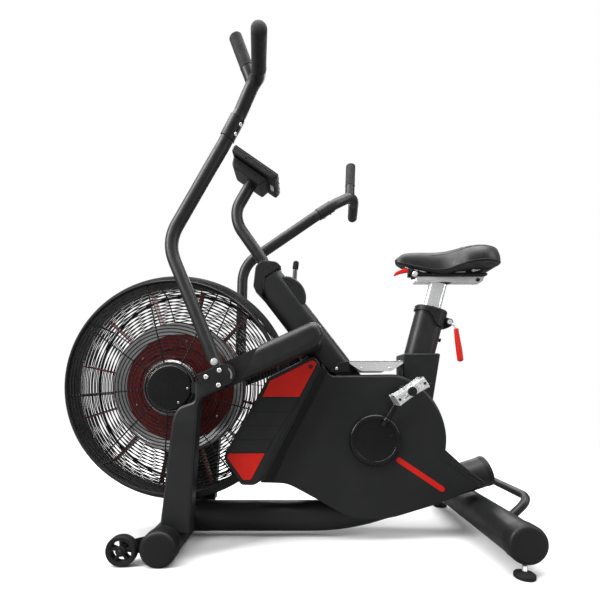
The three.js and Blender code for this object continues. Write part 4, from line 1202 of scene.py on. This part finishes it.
def edge_share(outline):
    """How much of the full edge rounding each outline point gets: all of it along the top and upper rear."""
    shares = []
    for x, z in outline:
        along_top = min(1.0, max(0.0, (z - 330) / 120))
        beside_front = min(1.0, max(0.0, (x - 80) / 40))
        shares.append(0.25 + 0.75 * along_top * beside_front)
    return shares


def build_shroud():
    """One thin-walled half, open at its front edge, cut for the frame and the axle. Marks: 1 screws."""
    outline = shroud_outline()
    face = -SHROUD_HALF
    inside = face + SHROUD_WALL
    half = Build().slab(outline, face, -0.2, 13, 0, 5, share=edge_share(outline))
    half.carved(
        Build().slab(inset(outline, SHROUD_WALL), inside, 10),
        Build().slab([(-105, 228), (-91, 221), (72, 538), (57, 545)], inside, 10),
        *framework(CLEAR),
        bore(CRANK.x, CRANK.z, -90, 10, 27, 32),
        Build().slab(groove_strip((430, 262), (560, 172), 2.4), face - 1, face + 1.2),
        Build().slab(groove_strip((421, 290), (440, 272), 2.2), face - 1, face + 1.0),
    )
    for x, z in SHROUD_SCREWS:
        dark_screw(half, (x, face, z), 6.2, mark=1)
    return half


def groove_strip(start, end, width):
    """The outline of a straight groove."""
    a, b = Vector(start), Vector(end)
    across = Vector((-(b - a).y, (b - a).x)).normalized() * width / 2
    return [tuple(a + across), tuple(b + across), tuple(b - across), tuple(a - across)]


def build_stripe():
    """The red stripe on the chain stay cover, with round ends."""
    a, b, r = Vector((309, 254)), Vector((442, 164.5)), 8.4
    line = b - a
    lean = math.degrees(math.atan2(line.y, line.x))
    outline = arc(b.x, b.y, r, lean - 90, lean + 90, 12) + arc(a.x, a.y, r, lean + 90, lean + 270, 12)
    return Build().slab(outline, -SHROUD_HALF - 0.8, -SHROUD_HALF + 0.5, 0.5, 0, 2)


finish_pair("shroud", build_shroud, "frame", "shell", SHELL, COAT_DARK_AND_HOLE_SHADE, angle=32)
both("shroud_stripe", build_stripe, "frame", "red", RED)

PANEL = [
    (-134, 186), (-172, 187), (-182, 199), (-220, 256), (-224, 277), (-90, 511), (30, 570), (42, 571),
    (56, 561), (64, 545), (-60, 300), (-112, 200),
]
LOUVRE_LINES = (450, 406.3, 364.5, 322.7, 283)
LOUVRE_GAP = 1.4
PANEL_CORNERS = [8, 6, 6, 10, 12, 14, 8, 10, 10, 10, 0, 10]


def louvre_edges(z):
    """X of the front and rear ends of the louvres at a height."""
    drop = (z - 450.2) / 167.2
    return -110.4 + drop * 98.6, drop * 101.5


def build_panel():
    """A hollow cover with a raised rim, louvres and two inserts. Marks: 0 shell, 1 inserts, 2 screw."""
    face = -PANEL_FACE
    panel = Build().slab(round_corners(PANEL, PANEL_CORNERS, 5), face, -SHROUD_HALF - 0.3, 5.0, 0, 4)
    inner = [(-150, 150), (-260, 250), (-260, 600), (20, 640), (49, 553), (57, 544), (-66, 302), (-117, 204)]
    recess = [
        (-89, 500), (38.8, 563.6), (58, 553.1), (2, 447.6), (-101.5, 280), (-143, 199.4), (-168, 199.4),
        (-218, 270), (-212, 286),
    ]
    panel.carved(
        Build().slab(inner, face + 5.0, 0),
        Build().slab(groove_strip((54, 549), (-121, 200), 3.0), face - 1, face + 2.2),
        Build().slab(round_corners(recess, 4), face - 1, face + 1.6),
    )
    for high, low in zip(LOUVRE_LINES, LOUVRE_LINES[1:]):
        high, low = high - LOUVRE_GAP, low + LOUVRE_GAP
        (x0, x1), (x2, x3) = louvre_edges(high), louvre_edges(low)
        plate = [(x0, high), (x1, high), (x3, low), (x2, low)]
        panel.slab(round_corners(plate, 2, 3), face + 0.2, face + 2.0, 0.8, 0, 2)
    upper = [(-86.6, 497.5), (38.8, 560), (55.0, 552.5), (1, 450.6), (-109.4, 450.6)]
    upper = round_corners(upper, [3, 5, 9, 3, 3], 5)
    lower = [(-209, 281.8), (-102, 281.8), (-143.3, 202.8), (-167.2, 202.8), (-214.5, 270)]
    lower = round_corners(lower, 4, 4)
    for red in (upper, lower):
        panel.slab(red, face - 0.4, face + 2.0, 0.8, 0, 2, mark=1)
    dark_screw(panel, (35.2, face - 0.4, 540.6), 6.4, mark=2)
    return panel


def build_panel_wall():
    """The slope between the vent panel and the shroud's face."""
    stops = [((62, 541), (92, 531)), ((-60, 300), (-32, 290)), ((-112, 198), (-78, 186))]
    face, foot_y = -PANEL_FACE + 3.0, -SHROUD_HALF - 0.2
    return Build().rings([
        [
            (x0, face, z0), (x0 + 4, face + 0.6, z0 - 1), (x1 - 6, -82, z1 + 2),
            (x1, foot_y, z1), (x0 - 3, foot_y, z0 + 1),
        ]
        for (x0, z0), (x1, z1) in stops
    ])


finish_pair("vent_panel", build_panel, "frame", "shell", SHELL, RED, COAT_DARK_AND_HOLE_SHADE, angle=32)
both("panel_wall", build_panel_wall, "frame", "shell", SHELL)

# ---------- tread plate and seat tube sleeve ----------


TREAD = dict(x0=156, x1=322, z0=529, z1=561, half=74)


def build_tread():
    """A folded plate with a chequer pattern on top. Marks: 0 bright metal, 1 screws."""
    tread = Build()
    x0, x1, z0, z1, half = TREAD.values()
    side = [(x0, z1), (x0, 553), (192, z0), (286, z0), (x1, 553), (x1, z1)]
    side = round_corners(side, [0, 3, 6, 6, 3, 0], 4)
    for y in (-half, half - 2.6):
        tread.slab(side, y, y + 2.6, 0.6, 0.6, 2)
    tread.slab([(x0, z1 - 3), (x0, z1), (x1, z1), (x1, z1 - 3)], -half, half, 0.6, 0.6, 2)
    tread.carved(*framework(CLEAR)[2:])
    for i in range(11):
        for j in range(9):
            x = x0 + 10 + i * 14.6 + (7.3 if j % 2 else 0)
            y = -64 + j * 16
            beside_tube = x > 300 and abs(y) < 40
            if x < x1 - 8 and not beside_tube:
                stud(tread, (x, y, z1), 45 if (i + j) % 2 else -45)
    for x in (193, 281):
        for y in (-half, half):
            screw_head(tread, (x, y, 538), (0, math.copysign(1, y), 0), 3.6, 1.8, mark=1)
    return tread


def stud(build, centre, lean):
    """One raised lozenge of the chequer pattern."""
    a = math.radians(lean)
    u = Vector((math.cos(a), math.sin(a), 0))
    v = Vector((-u.y, u.x, 0))
    foot_spot = Vector(centre)
    top = foot_spot + Vector((0, 0, 0.9))
    rings = []
    for c, half_length, half_width in ((foot_spot, 6, 1.8), (top, 4, 0.9)):
        rings.append([c + u * half_length, c + v * half_width, c - u * half_length, c - v * half_width])
    build.rings(rings)


finish("step_plate", build_tread(), "frame", "polished", POLISHED, BOLT, angle=35)


def build_step_bracket():
    """Marks: 1 screws."""
    bracket = Build()
    side = round_corners([(92, 527), (128, 557.5), (155.6, 559), (155.6, 527)], [3, 8, 0, 0], 4)
    bracket.slab(side, -74, -69, 1.2, 0.6, 3)
    bracket.slab(side, 69, 74, 0.6, 1.2, 3)
    bracket.slab([(126, 553.4), (126, 556.4), (155.6, 558.4), (155.6, 555.4)], -70, 70)
    for y in (-74, 74):
        screw_head(bracket, (116, y, 537), (0, math.copysign(1, y), 0), 4.6, 2.2, mark=1)
    return bracket


build_step_bracket().piece("step_bracket", "frame", "plastic", PLASTIC, BOLT, angle=35)


def build_sleeve():
    """The cover round the foot of the seat tube, on the shroud's round rear. Marks: 1 screws."""
    outline = round_corners([(330, 430), (329, 587), (448, 587), (423, 430)], [0, 8, 8, 0], 5)
    sleeve = Build().slab(outline, -48, 48, 6, 6, 4)
    sleeve.carved(
        *framework(CLEAR)[2:],
        bore(CRANK.x, CRANK.z, -60, 60, SHROUD_REAR_R + 0.8, 160),
    )
    for y in (-48, 48):
        dark_screw(sleeve, (420, y, 487), 4.6, 1, PLAIN, 20)
    return sleeve


finish("seat_tube_sleeve", build_sleeve(), "frame", "plastic", SHELL, COAT_DARK_AND_HOLE_SHADE, angle=35)

# ---------- post collar, console and brake ----------

MAST = [(-103, 0, 862), (-120, 0, 896), (-200, 0, 1010), (-205, 0, 1062), (-144, 0, 1168)]


def mast(grow):
    """The console's tube, grown by a clearance."""
    return Build().pipe(bent(MAST, 72, 18), TUBE_R + grow, 40)


def build_collar_cap():
    """A wedge in front of the post, and a slightly narrower band over its top."""
    wedge = [(-116, 766), (-147, 800), (-139, 868), (-117, 887), (-96, 880), (-110, 826)]
    wedge = round_corners(wedge, [4, 8, 10, 8, 0, 6], 6)
    band = [(-130, 862), (-117, 887), (-72, 882), (-56, 866), (-108, 832)]
    band = round_corners(band, [0, 10, 8, 5, 0], 6)
    cap = Build()
    for outline, width in ((wedge, 66), (band, 64)):
        half = Build().slab(outline, -width / 2, width / 2, 3.5, 3.5, 5)
        cap.merged(half.carved(*framework(CLEAR)[1:2], mast(0.6), flatten=False))
    return cap


finish("console_mast", mast(0), "frame", "coat", COAT, angle=40)
finish("post_collar", build_collar_cap(), "frame", "plastic", SHELL, COAT_DARK_AND_HOLE_SHADE, angle=32)

CONSOLE_HALF = 62.0
CONSOLE_BACK = 44.0
CONSOLE_DEPTH = 25.0
CONSOLE_DEEP = 56.0
CONSOLE_FRONT = Vector((-200, 1240))
CONSOLE_REAR = Vector((-62.5, 1144.5))
CONSOLE_LINE = (CONSOLE_REAR - CONSOLE_FRONT).normalized()
CONSOLE_DOWN = Vector((CONSOLE_LINE.y, -CONSOLE_LINE.x))


def on_console(base, along, down):
    """The side view (x, z) of a spot along the console's sloping face and down from it."""
    return tuple(base + CONSOLE_LINE * along + CONSOLE_DOWN * down)


def build_console():
    """Marks: 0 case, 1 dark screws, 2 pale label underneath, 3 lighter back housing."""
    front, rear = CONSOLE_FRONT, CONSOLE_REAR
    body = round_corners([
        on_console(front, 0, 3.7), on_console(rear, 0, 3.7), on_console(rear, -3, CONSOLE_DEPTH),
        on_console(front, 3, CONSOLE_DEPTH),
    ], [4, 5, 7, 7], 5)
    case = Build().slab(body, -CONSOLE_HALF, CONSOLE_HALF, 5, 5, 4)
    back = round_corners([
        on_console(front, 8, CONSOLE_DEPTH - 2), on_console(rear, -28, CONSOLE_DEPTH - 2),
        on_console(rear, -36, CONSOLE_DEEP), on_console(front, 22, CONSOLE_DEEP),
    ], [2, 2, 7, 12], 4)
    case.slab(back, -CONSOLE_BACK, CONSOLE_BACK, 5, 5, 4, mark=3)
    case.carved(mast(0.6))
    for sign in (-1, 1):
        for spot in (on_console(front, 52, 16), on_console(rear, -14, 16)):
            dark_screw(case, (spot[0], sign * CONSOLE_HALF, spot[1]), 3.2, 1, PLAIN, 20)
        for along in (40, 96):
            x, z = on_console(front, along, CONSOLE_DEPTH + 12)
            dark_screw(case, (x, sign * CONSOLE_BACK, z), 3.2, 1, PLAIN, 20)
    label = round_corners([(-17, -6), (17, -6), (17, 6), (-17, 6)], 3, 3)
    rings = []
    for down in (CONSOLE_DEPTH - 0.5, CONSOLE_DEPTH + 1.2):
        spots = [(on_console(rear, -14 + v, down), u) for u, v in label]
        rings.append([(x, u, z) for (x, z), u in spots])
    case.rings(rings, mark=2)
    return case


def build_screen():
    """A raised bezel with three keys, and a blank window. Marks: 0 bezel, 1 dark window."""
    front, rear = CONSOLE_FRONT, CONSOLE_REAR
    half = CONSOLE_HALF - 2
    outline = round_corners([
        on_console(front, 2, 0), on_console(rear, -2, 0),
        on_console(rear, -2, 3.6), on_console(front, 2, 3.6),
    ], [3, 3, 0, 0], 4)
    screen = Build().slab(outline, -half, half, 3, 3, 3)
    window = [
        on_console(front, 22, -0.8), on_console(rear, -18, -0.8),
        on_console(rear, -18, 1), on_console(front, 22, 1),
    ]
    screen.slab(window, -half + 14, half - 14, 1.0, 1.0, 2, mark=1)
    x, z = on_console(rear, -10, -0.2)
    up = Vector((-CONSOLE_DOWN.x, 0, -CONSOLE_DOWN.y))
    for y in (-34, 0, 34):
        screen.turned((x, y, z), up, [(8, -2), (8, 0.9), (7, 1.7), (0, 2.0)], 24)
    return screen


finish("console_case", build_console(), "frame", "plastic", PLASTIC, COAT_DARK_AND_HOLE_SHADE, WHITE, SHELL, angle=32)
finish("console_screen", build_screen(), "frame", "screen", PLASTIC, SCREEN, angle=32)


def bezier(a, b, c, d, steps=14):
    """Points on the curve from a to d that leans towards b and then c."""
    out = []
    for k in range(steps + 1):
        t = k / steps
        m = 1 - t
        out.append(tuple(
            p * m ** 3 + 3 * q * m * m * t + 3 * r * m * t * t + s * t ** 3 for p, q, r, s in zip(a, b, c, d)
        ))
    return out


def build_brake():
    """The half-round housing behind the post, slotted for the lever."""
    outline = bezier((-56, 834), (-24, 850), (36, 806), (21, 752)) + [(6, 738)]
    housing = Build().slab(outline, -28, 28, 7, 7, 5)
    housing.carved(
        *framework(CLEAR)[1:2],
        Build().slab([(-28, 802), (-8, 800), (26, 850), (-40, 880)], -8.5, 8.5),
    )
    return housing


def build_brake_lever():
    """Marks: 0 stick, 1 knob."""
    root, joint, tip = Vector((-16, 0, 817)), Vector((-12, 0, 866)), Vector((-8.7, 0, 893))
    lever = Build().turned(root, joint - root, [(6.4, 0), (7.2, 6), (7.2, (joint - root).length)], 28)
    reach = (tip - joint).length
    cap = [(7.4, -2), (9, 0), (9.6, 5), (9.6, reach - 8), (8.4, reach - 3), (5, reach - 0.6), (0, reach)]
    lever.turned(joint, tip - joint, cap, 28, mark=1)
    return lever


finish("brake_housing", build_brake(), "frame", "plastic", SHELL, COAT_DARK_AND_HOLE_SHADE, angle=32)
finish("brake_lever", build_brake_lever(), "brake", "plastic", STEEL_DARK, RUBBER)

# ---------- seat ----------

RAIL = dict(x0=378, x1=600, z0=820, z1=838, half=19)


def build_seat_post():
    """The post with its holes drawn as flat dark discs of painted shade, and the rail on its top. Marks: 0
    bright metal, 1 painted hole shade and bolts.
    """
    post = Build()
    post.sweep([along_seat(-200), along_seat(100)], stadium(30, 59, 14))
    # The holes are not cut: flat dark discs on the rider's-left face are painted shade standing for them.
    for k in range(9):
        spot = along_seat(-190 + 26 * k)
        post.turned((spot.x, -15.05, spot.z), (0, -1, 0), [(4.2, 0), (4.2, 0.12), (0, 0.12)], 16, mark=1)
    x0, x1, z0, z1, half = RAIL.values()
    side = round_corners([(x0, z0), (x0, z1), (x1, z1), (x1 - 6, z0)], [4, 1, 1, 6], 4)
    post.slab(side, -half, half, 1.6, 1.6, 3)
    channel = round_corners([(x0 + 4, z0 + 4.5), (x0 + 4, z1 - 3.5), (500, z1 - 3.5), (500, z0 + 4.5)], 3, 3)
    for y in (-half, half):
        out = math.copysign(1, y)
        low, high = sorted((y - out, y + 1.6 * out))
        post.slab(channel, low, high, 0.8, 0.8, 2)
        hex_bolt(post, (578, y, 826), (0, out, 0), 4.6, 3, mark=1)
    post.slab([(462, 821), (500, 821), (470, 811), (448, 812), (446, 821)], -11, 11, 2, 2, 2, mark=1)
    return post


finish("seat_post", build_seat_post(), "seat_post", "polished", POLISHED, COAT_DARK_AND_HOLE_SHADE, angle=35)
from_node("seat_carriage", PLASTIC, 1.6)

SADDLE = [
    # x, half width, height of the top, height of the seam
    (314, 2, 895, 891), (319, 11, 900, 886), (335, 21, 912, 879), (356, 27, 917, 872), (385, 32, 918.5, 864),
    (417, 39, 918, 856), (445, 49, 918, 850.5), (471, 65, 919, 851), (494, 85, 922, 856.5),
    (516, 102, 926, 860), (543, 112, 929.5, 862), (574, 112, 930, 863), (600, 102, 926.5, 862),
    (619, 82, 918.5, 863), (630, 58, 908, 870),
    (636, 30, 896, 880), (637.5, 4, 888, 885),
]


def saddle_at(x):
    """Half width, top and seam height at one place along the saddle, by smooth interpolation."""
    xs = [row[0] for row in SADDLE]
    k = max(1, min(len(xs) - 1, next((i for i, v in enumerate(xs) if v >= x), len(xs) - 1)))
    t = (x - xs[k - 1]) / (xs[k] - xs[k - 1])
    rows = [SADDLE[max(0, k - 2)], SADDLE[k - 1], SADDLE[k], SADDLE[min(len(xs) - 1, k + 1)]]
    out = []
    for j in (1, 2, 3):
        a, b, c, d = (row[j] for row in rows)
        low, high = sorted((b, c))
        m0 = (c - a) / (rows[2][0] - rows[0][0]) * (rows[2][0] - rows[1][0])
        m1 = (d - b) / (rows[3][0] - rows[1][0]) * (rows[2][0] - rows[1][0])
        value = (
            (2 * t ** 3 - 3 * t ** 2 + 1) * b + (t ** 3 - 2 * t ** 2 + t) * m0
            + (3 * t ** 2 - 2 * t ** 3) * c + (t ** 3 - t ** 2) * m1
        )
        out.append(min(max(value, low - 1.5), high + 1.5))
    return out


def saddle_height(x, share):
    """Height of the padding at a share (-1 to 1) of the half width: two cheeks and a shallow valley."""
    half, top, seam = saddle_at(x)
    s = abs(share)
    edge = max(0.0, 1 - s ** 3.2) ** 0.42
    valley = 0.13 * max(0.0, min(1.0, (x - 330) / 120)) * math.exp(-(s / 0.3) ** 2)
    crown = 0.04 * (1 - s)
    return seam + (top - seam) * edge * (1 - valley - 0.04 + crown)


def build_saddle():
    """Sections across the padding, closed under it by a rolled lip, smoothed by subdivision."""
    xs = [SADDLE[0][0]]
    for a, b in zip(SADDLE, SADDLE[1:]):
        steps = max(2, round((b[0] - a[0]) / 6))
        xs += [a[0] + (b[0] - a[0]) * i / steps for i in range(1, steps + 1)]
    across = 44
    rings = []
    for x in xs:
        half, top, seam = saddle_at(x)
        ring = []
        for i in range(across + 1):
            a = math.pi * i / across
            share = math.cos(a)
            share = math.copysign(abs(share) ** 0.86, share)
            pucker = 0.35 * math.sin(x * 0.42 + share * 7) * (1 - abs(share)) * min(1.0, half / 60)
            ring.append((x, half * share, saddle_height(x, share) + pucker))
        lip = min(4.0, half * 0.3)
        ring.append((x, -half + lip * 0.25, seam - min(5, half * 0.4)))
        ring.append((x, -half + lip * 1.6, seam - min(4, half * 0.3)))
        ring.append((x, half - lip * 1.6, seam - min(4, half * 0.3)))
        ring.append((x, half - lip * 0.25, seam - min(5, half * 0.4)))
        rings.append(ring)
    return Build().rings(rings)


TOP_SEAM = 0.8  # share of the half width


def build_saddle_trim():
    """Marks: 0 piping round the edge and along the top seams, 1 stitches."""
    trim = Build()
    xs = np.linspace(320, 634, 90)
    for sign in (-1, 1):
        line = []
        for x in xs:
            half, top, seam = saddle_at(x)
            line.append((x, sign * (half + 0.1), seam + 0.6))
        trim.pipe(line, 1.5, 8)
        seam_line = [
            (x, sign * saddle_at(x)[0] * TOP_SEAM, saddle_height(x, TOP_SEAM) + 0.1)
            for x in np.linspace(420, 620, 70)
        ]
        trim.pipe(seam_line, 0.9, 6)
        beside = Vector((0, -sign * 2.6, 0.5))
        for a, b in list(zip(seam_line, seam_line[1:]))[::2]:
            trim.pipe([Vector(a) + beside, Vector(b) + beside], 0.5, 5, mark=1)
    return trim


SADDLE_RAIL = [(346, 9, 872), (392, 18, 853), (440, 21, 850.5), (545, 22, 850.5), (606, 46, 862)]


def build_saddle_base():
    """Moulded shell under the padding, with its rails, clamp and bolts. Marks: 0 plastic, 1 bright metal."""
    base = Build()
    rings = []
    for x in np.linspace(326, 624, 34):
        half, top, seam = saddle_at(x)
        share = min(1.0, (x - 326) / 60)
        wide = half - min(5, half * 0.3)
        floor = seam - 3 - 6 * share * min(1.0, (630 - x) / 40)
        rings.append([
            (x, -wide, seam), (x, -wide * 0.9, seam - 5), (x, -wide * 0.55, floor), (x, wide * 0.55, floor),
            (x, wide * 0.9, seam - 5), (x, wide, seam),
        ])
    base.rings(rings)
    for sign in (-1, 1):
        rail = [(x, sign * y, z) for x, y, z in SADDLE_RAIL]
        base.pipe(bent(rail, 30, 8), 3.4, 14, mark=1)
        hex_bolt(base, (556, sign * 34, 854), (0, sign, 0.4), 5.5, 5, mark=1)
        base.turned((600, sign * 44, 852), (0, 0, 1), [(8, 0), (9, 2), (9, 12), (6, 14)], 20)
    base.block((535, -30, 846.6), (577, 30, 855))
    return base


build_saddle().piece("saddle_cover", "seat", "saddle_skin", LEATHER, replaces=("saddle",), subdivide=1)
build_saddle_trim().piece("saddle_trim", "seat", "saddle_skin", COAT_DARK_AND_HOLE_SHADE, GRIP, angle=60)
build_saddle_base().piece("saddle_base", "seat", "plastic", PLASTIC, BOLT, angle=35)


CLAMP_BOLT = (485, 689)


def build_clamp():
    """The collar on the seat tube, high in front and low behind, with its ear."""
    clamp = Build()
    clamp.sweep(
        [along_seat(-54), along_seat(-53), along_seat(8), along_seat(12), along_seat(14)],
        stadium(77, 107, 16), [0.992, 1.0, 1.0, 0.985, 0.95],
    )
    ear = [(448, 668), (481, 670), (499, 680), (499, 698), (481, 706), (448, 714)]
    ear = round_corners(ear, [0, 8, 9, 9, 8, 0], 5)
    clamp.slab(ear, -14, 14, 3, 3, 3)
    keep_line = [
        (350, 733), (374, 732), (394, 730), (416, 720), (428, 706), (433, 688), (443, 678), (457, 671),
        (500, 664), (520, 560), (300, 560), (300, 733),
    ]
    clamp.carved(
        Build().sweep([along_seat(-90), along_seat(0.5)], stadium(66.6, 96.6, 14)),
        Build().sweep([along_seat(-90), along_seat(60)], stadium(31, 60, 14)),
        Build().slab(round_corners(keep_line, [0, 10, 14, 20, 20, 16, 14, 10, 10, 0, 0, 0], 6), -60, 60),
        bore(*CLAMP_BOLT, -40, 40, 5.6, 20),
    )
    return clamp


def build_clamp_lever():
    """Marks: 0 red handle, 1 bright metal, 2 black."""
    x, z = CLAMP_BOLT
    lever = Build()
    lever.turned((x, 18, z), (0, -1, 0), [(5, 0), (5, 42)], 20, mark=1)
    lever.turned((x, -16, z), (0, -1, 0), [(10, 0), (11.6, 1.4), (11.6, 8), (10, 9)], 32, mark=2)
    cap = [(8, 0), (8, 7), (6.6, 8.6), (3, 8.6), (2.6, 7), (0, 7)]
    lever.turned((x, -20, z), (0, -1, 0), cap, 32, mark=1)
    lever.pipe(bent([(x + 4, -25, z - 4), (501, -26, 676), (505, -26, 664)], 10, 8), 3.4, 14, mark=1)
    path = [Vector((x, -26, z)) for x, z in ((504.5, 668), (508, 640), (514, 600), (519, 562))]
    lever.sweep(
        [path[0], path[0].lerp(path[1], 0.08), path[1], path[2], path[3].lerp(path[2], 0.12), path[3]],
        circle(9.6, 24), [0.5, 0.74, 0.86, 1.02, 1.0, 0.5], up=(0, 1, 0),
    )
    return lever


def build_slider_lever():
    """Marks: 0 red, 1 black."""
    lever = Build()
    tab = round_corners([
        (352, 861), (338, 861.5), (314, 852.5), (306, 843), (308.5, 838), (326, 845.5), (352, 850),
    ], [0, 8, 6, 4, 4, 12, 0], 5)
    lever.slab(tab, -24, -12, 2.4, 2.4, 3)
    boss = round_corners([(350, 863), (366, 864), (372, 852), (366, 842), (352, 848)], 5, 4)
    lever.slab(boss, -25, -11, 2, 2, 3, mark=1)
    lever.turned((364, -26.5, 854), (0, 1, 0), [(5.4, 0), (7, 1.4), (7, 16)], 24, mark=1)
    return lever


def build_slider_knob():
    """Marks: 0 bright metal, 1 black."""
    profile = [(9, 0), (9, 2), (7, 3), (7, 12), (8.4, 13), (8.4, 20), (6.5, 22), (0, 22.4)]
    knob = Build().turned((372, -10, 843), (0, -1, 0), profile, 28)
    knob.turned((372, -9, 843), (0, -1, 0), [(12, 0), (12, 3), (10, 4)], 28, mark=1)
    return knob


finish("seat_clamp", build_clamp(), "frame", "plastic", PLASTIC, angle=32)
finish("clamp_lever", build_clamp_lever(), "clamp_lever", "red", RED, BOLT, RUBBER)
finish("slider_lever", build_slider_lever(), "slider_lever", "red", RED, PLASTIC)
build_slider_knob().piece("slider_knob", "seat", "polished", POLISHED, PLASTIC)


def build_tube_pin():
    """Small bolt on the back of the seat tube."""
    out = Vector((SEAT_AXIS.z, 0, -SEAT_AXIS.x))
    profile = [(5, 0), (5, 4), (6.4, 4.5), (6.4, 8), (5, 9), (0, 9)]
    return Build().turned(along_seat(-78) + out * 47, out, profile, 20)


build_tube_pin().piece("seat_tube_pin", "frame", "plastic", PLASTIC)

# ---------- floor, light and camera ----------

CAMERA = dict(distance=1.3, height=0.48, lens=23.8, shift_x=0.0017, shift_y=0.145)
FLOOR = dict(half=14.0, level=-0.0006, paint_to=1.5, white_from=3.4)
MIDDLE = (0, 0, 0.6)
LIGHTS = (
    # name, place, target, width, length, watts
    ("top", (0.0, -0.2, 3.2), (0, 0, 0), 3.6, 2.6, 185),
    ("key", (-2.3, -1.3, 2.3), MIDDLE, 1.0, 2.4, 120),
    ("fill", (2.6, -1.2, 1.8), MIDDLE, 0.5, 2.2, 28),
    ("back", (0.6, 2.8, 2.2), MIDDLE, 2.6, 1.2, 45),
)
SURROUND = 0.32  # brightness of the room round the white set, as the object reflects it


def stage():
    """A pale floor that turns into the plain white of the background away from the object."""
    half, level = FLOOR["half"], FLOOR["level"]
    corners = [(-half, -half, level), (half, -half, level), (half, half, level), (-half, half, level)]
    mesh = bpy.data.meshes.new("floor")
    mesh.from_pydata(corners, [], [(0, 1, 2, 3)])
    obj = bpy.data.objects.new("floor", mesh)
    s = Shader("floor_paint")
    seen = s.nodes.new("ShaderNodeLightPath").outputs["Is Camera Ray"]
    pale = s.mix(s.spread(s.noise(3, 3), 0, 1), (0.87, 0.87, 0.87), (0.91, 0.91, 0.91))
    s.feed(s.mix(seen, (0.22, 0.22, 0.22), pale), "Base Color")
    s.set(Roughness=0.6, Specular_IOR_Level=0.3)
    away = s.nodes.new("ShaderNodeVectorMath")
    away.operation = "LENGTH"
    s.links.new(s.place, away.inputs[0])
    white = s.nodes.new("ShaderNodeEmission")
    s.links.new(s.spread(seen, SURROUND, 1.0, 0.0, 1.0), white.inputs["Strength"])
    blend = s.nodes.new("ShaderNodeMixShader")
    fade = s.spread(away.outputs["Value"], 0.0, 1.0, FLOOR["paint_to"], FLOOR["white_from"])
    s.links.new(fade, blend.inputs["Fac"])
    s.links.new(s.bsdf.outputs["BSDF"], blend.inputs[1])
    s.links.new(white.outputs["Emission"], blend.inputs[2])
    s.links.new(blend.outputs["Shader"], s.nodes["Material Output"].inputs["Surface"])
    mesh.materials.append(s.material)
    bpy.context.scene.collection.objects.link(obj)


def surroundings():
    """White for the camera, a dim room for everything the object reflects."""
    world = bpy.data.worlds.new("studio")
    world.use_nodes = True
    nodes, links = world.node_tree.nodes, world.node_tree.links
    seen = nodes.new("ShaderNodeLightPath").outputs["Is Camera Ray"]
    level = nodes.new("ShaderNodeMapRange")
    level.inputs["To Min"].default_value = SURROUND
    level.inputs["To Max"].default_value = 1.0
    links.new(seen, level.inputs["Value"])
    nodes["Background"].inputs["Color"].default_value = (1, 1, 1, 1)
    links.new(level.outputs["Result"], nodes["Background"].inputs["Strength"])
    bpy.context.scene.world = world


def area_light(name, location, target, width, length, power):
    data = bpy.data.lights.new(name, "AREA")
    data.energy = power
    data.shape = "RECTANGLE"
    data.size = width
    data.size_y = length
    obj = bpy.data.objects.new(name, data)
    obj.location = location
    obj.rotation_euler = (Vector(target) - Vector(location)).to_track_quat("-Z", "Y").to_euler()
    bpy.context.scene.collection.objects.link(obj)


def lights_and_camera():
    stage()
    surroundings()
    for light in LIGHTS:
        area_light(*light)
    camera = bpy.data.cameras.new("camera")
    camera.lens = CAMERA["lens"]
    camera.shift_x = CAMERA["shift_x"]
    camera.shift_y = CAMERA["shift_y"]
    obj = bpy.data.objects.new("camera", camera)
    obj.location = (SHIFT, -CAMERA["distance"], CAMERA["height"])
    obj.rotation_euler = (math.radians(90), 0, 0)
    bpy.context.scene.collection.objects.link(obj)
    bpy.context.scene.camera = obj
    bpy.context.scene.view_settings.view_transform = "Standard"


lights_and_camera()
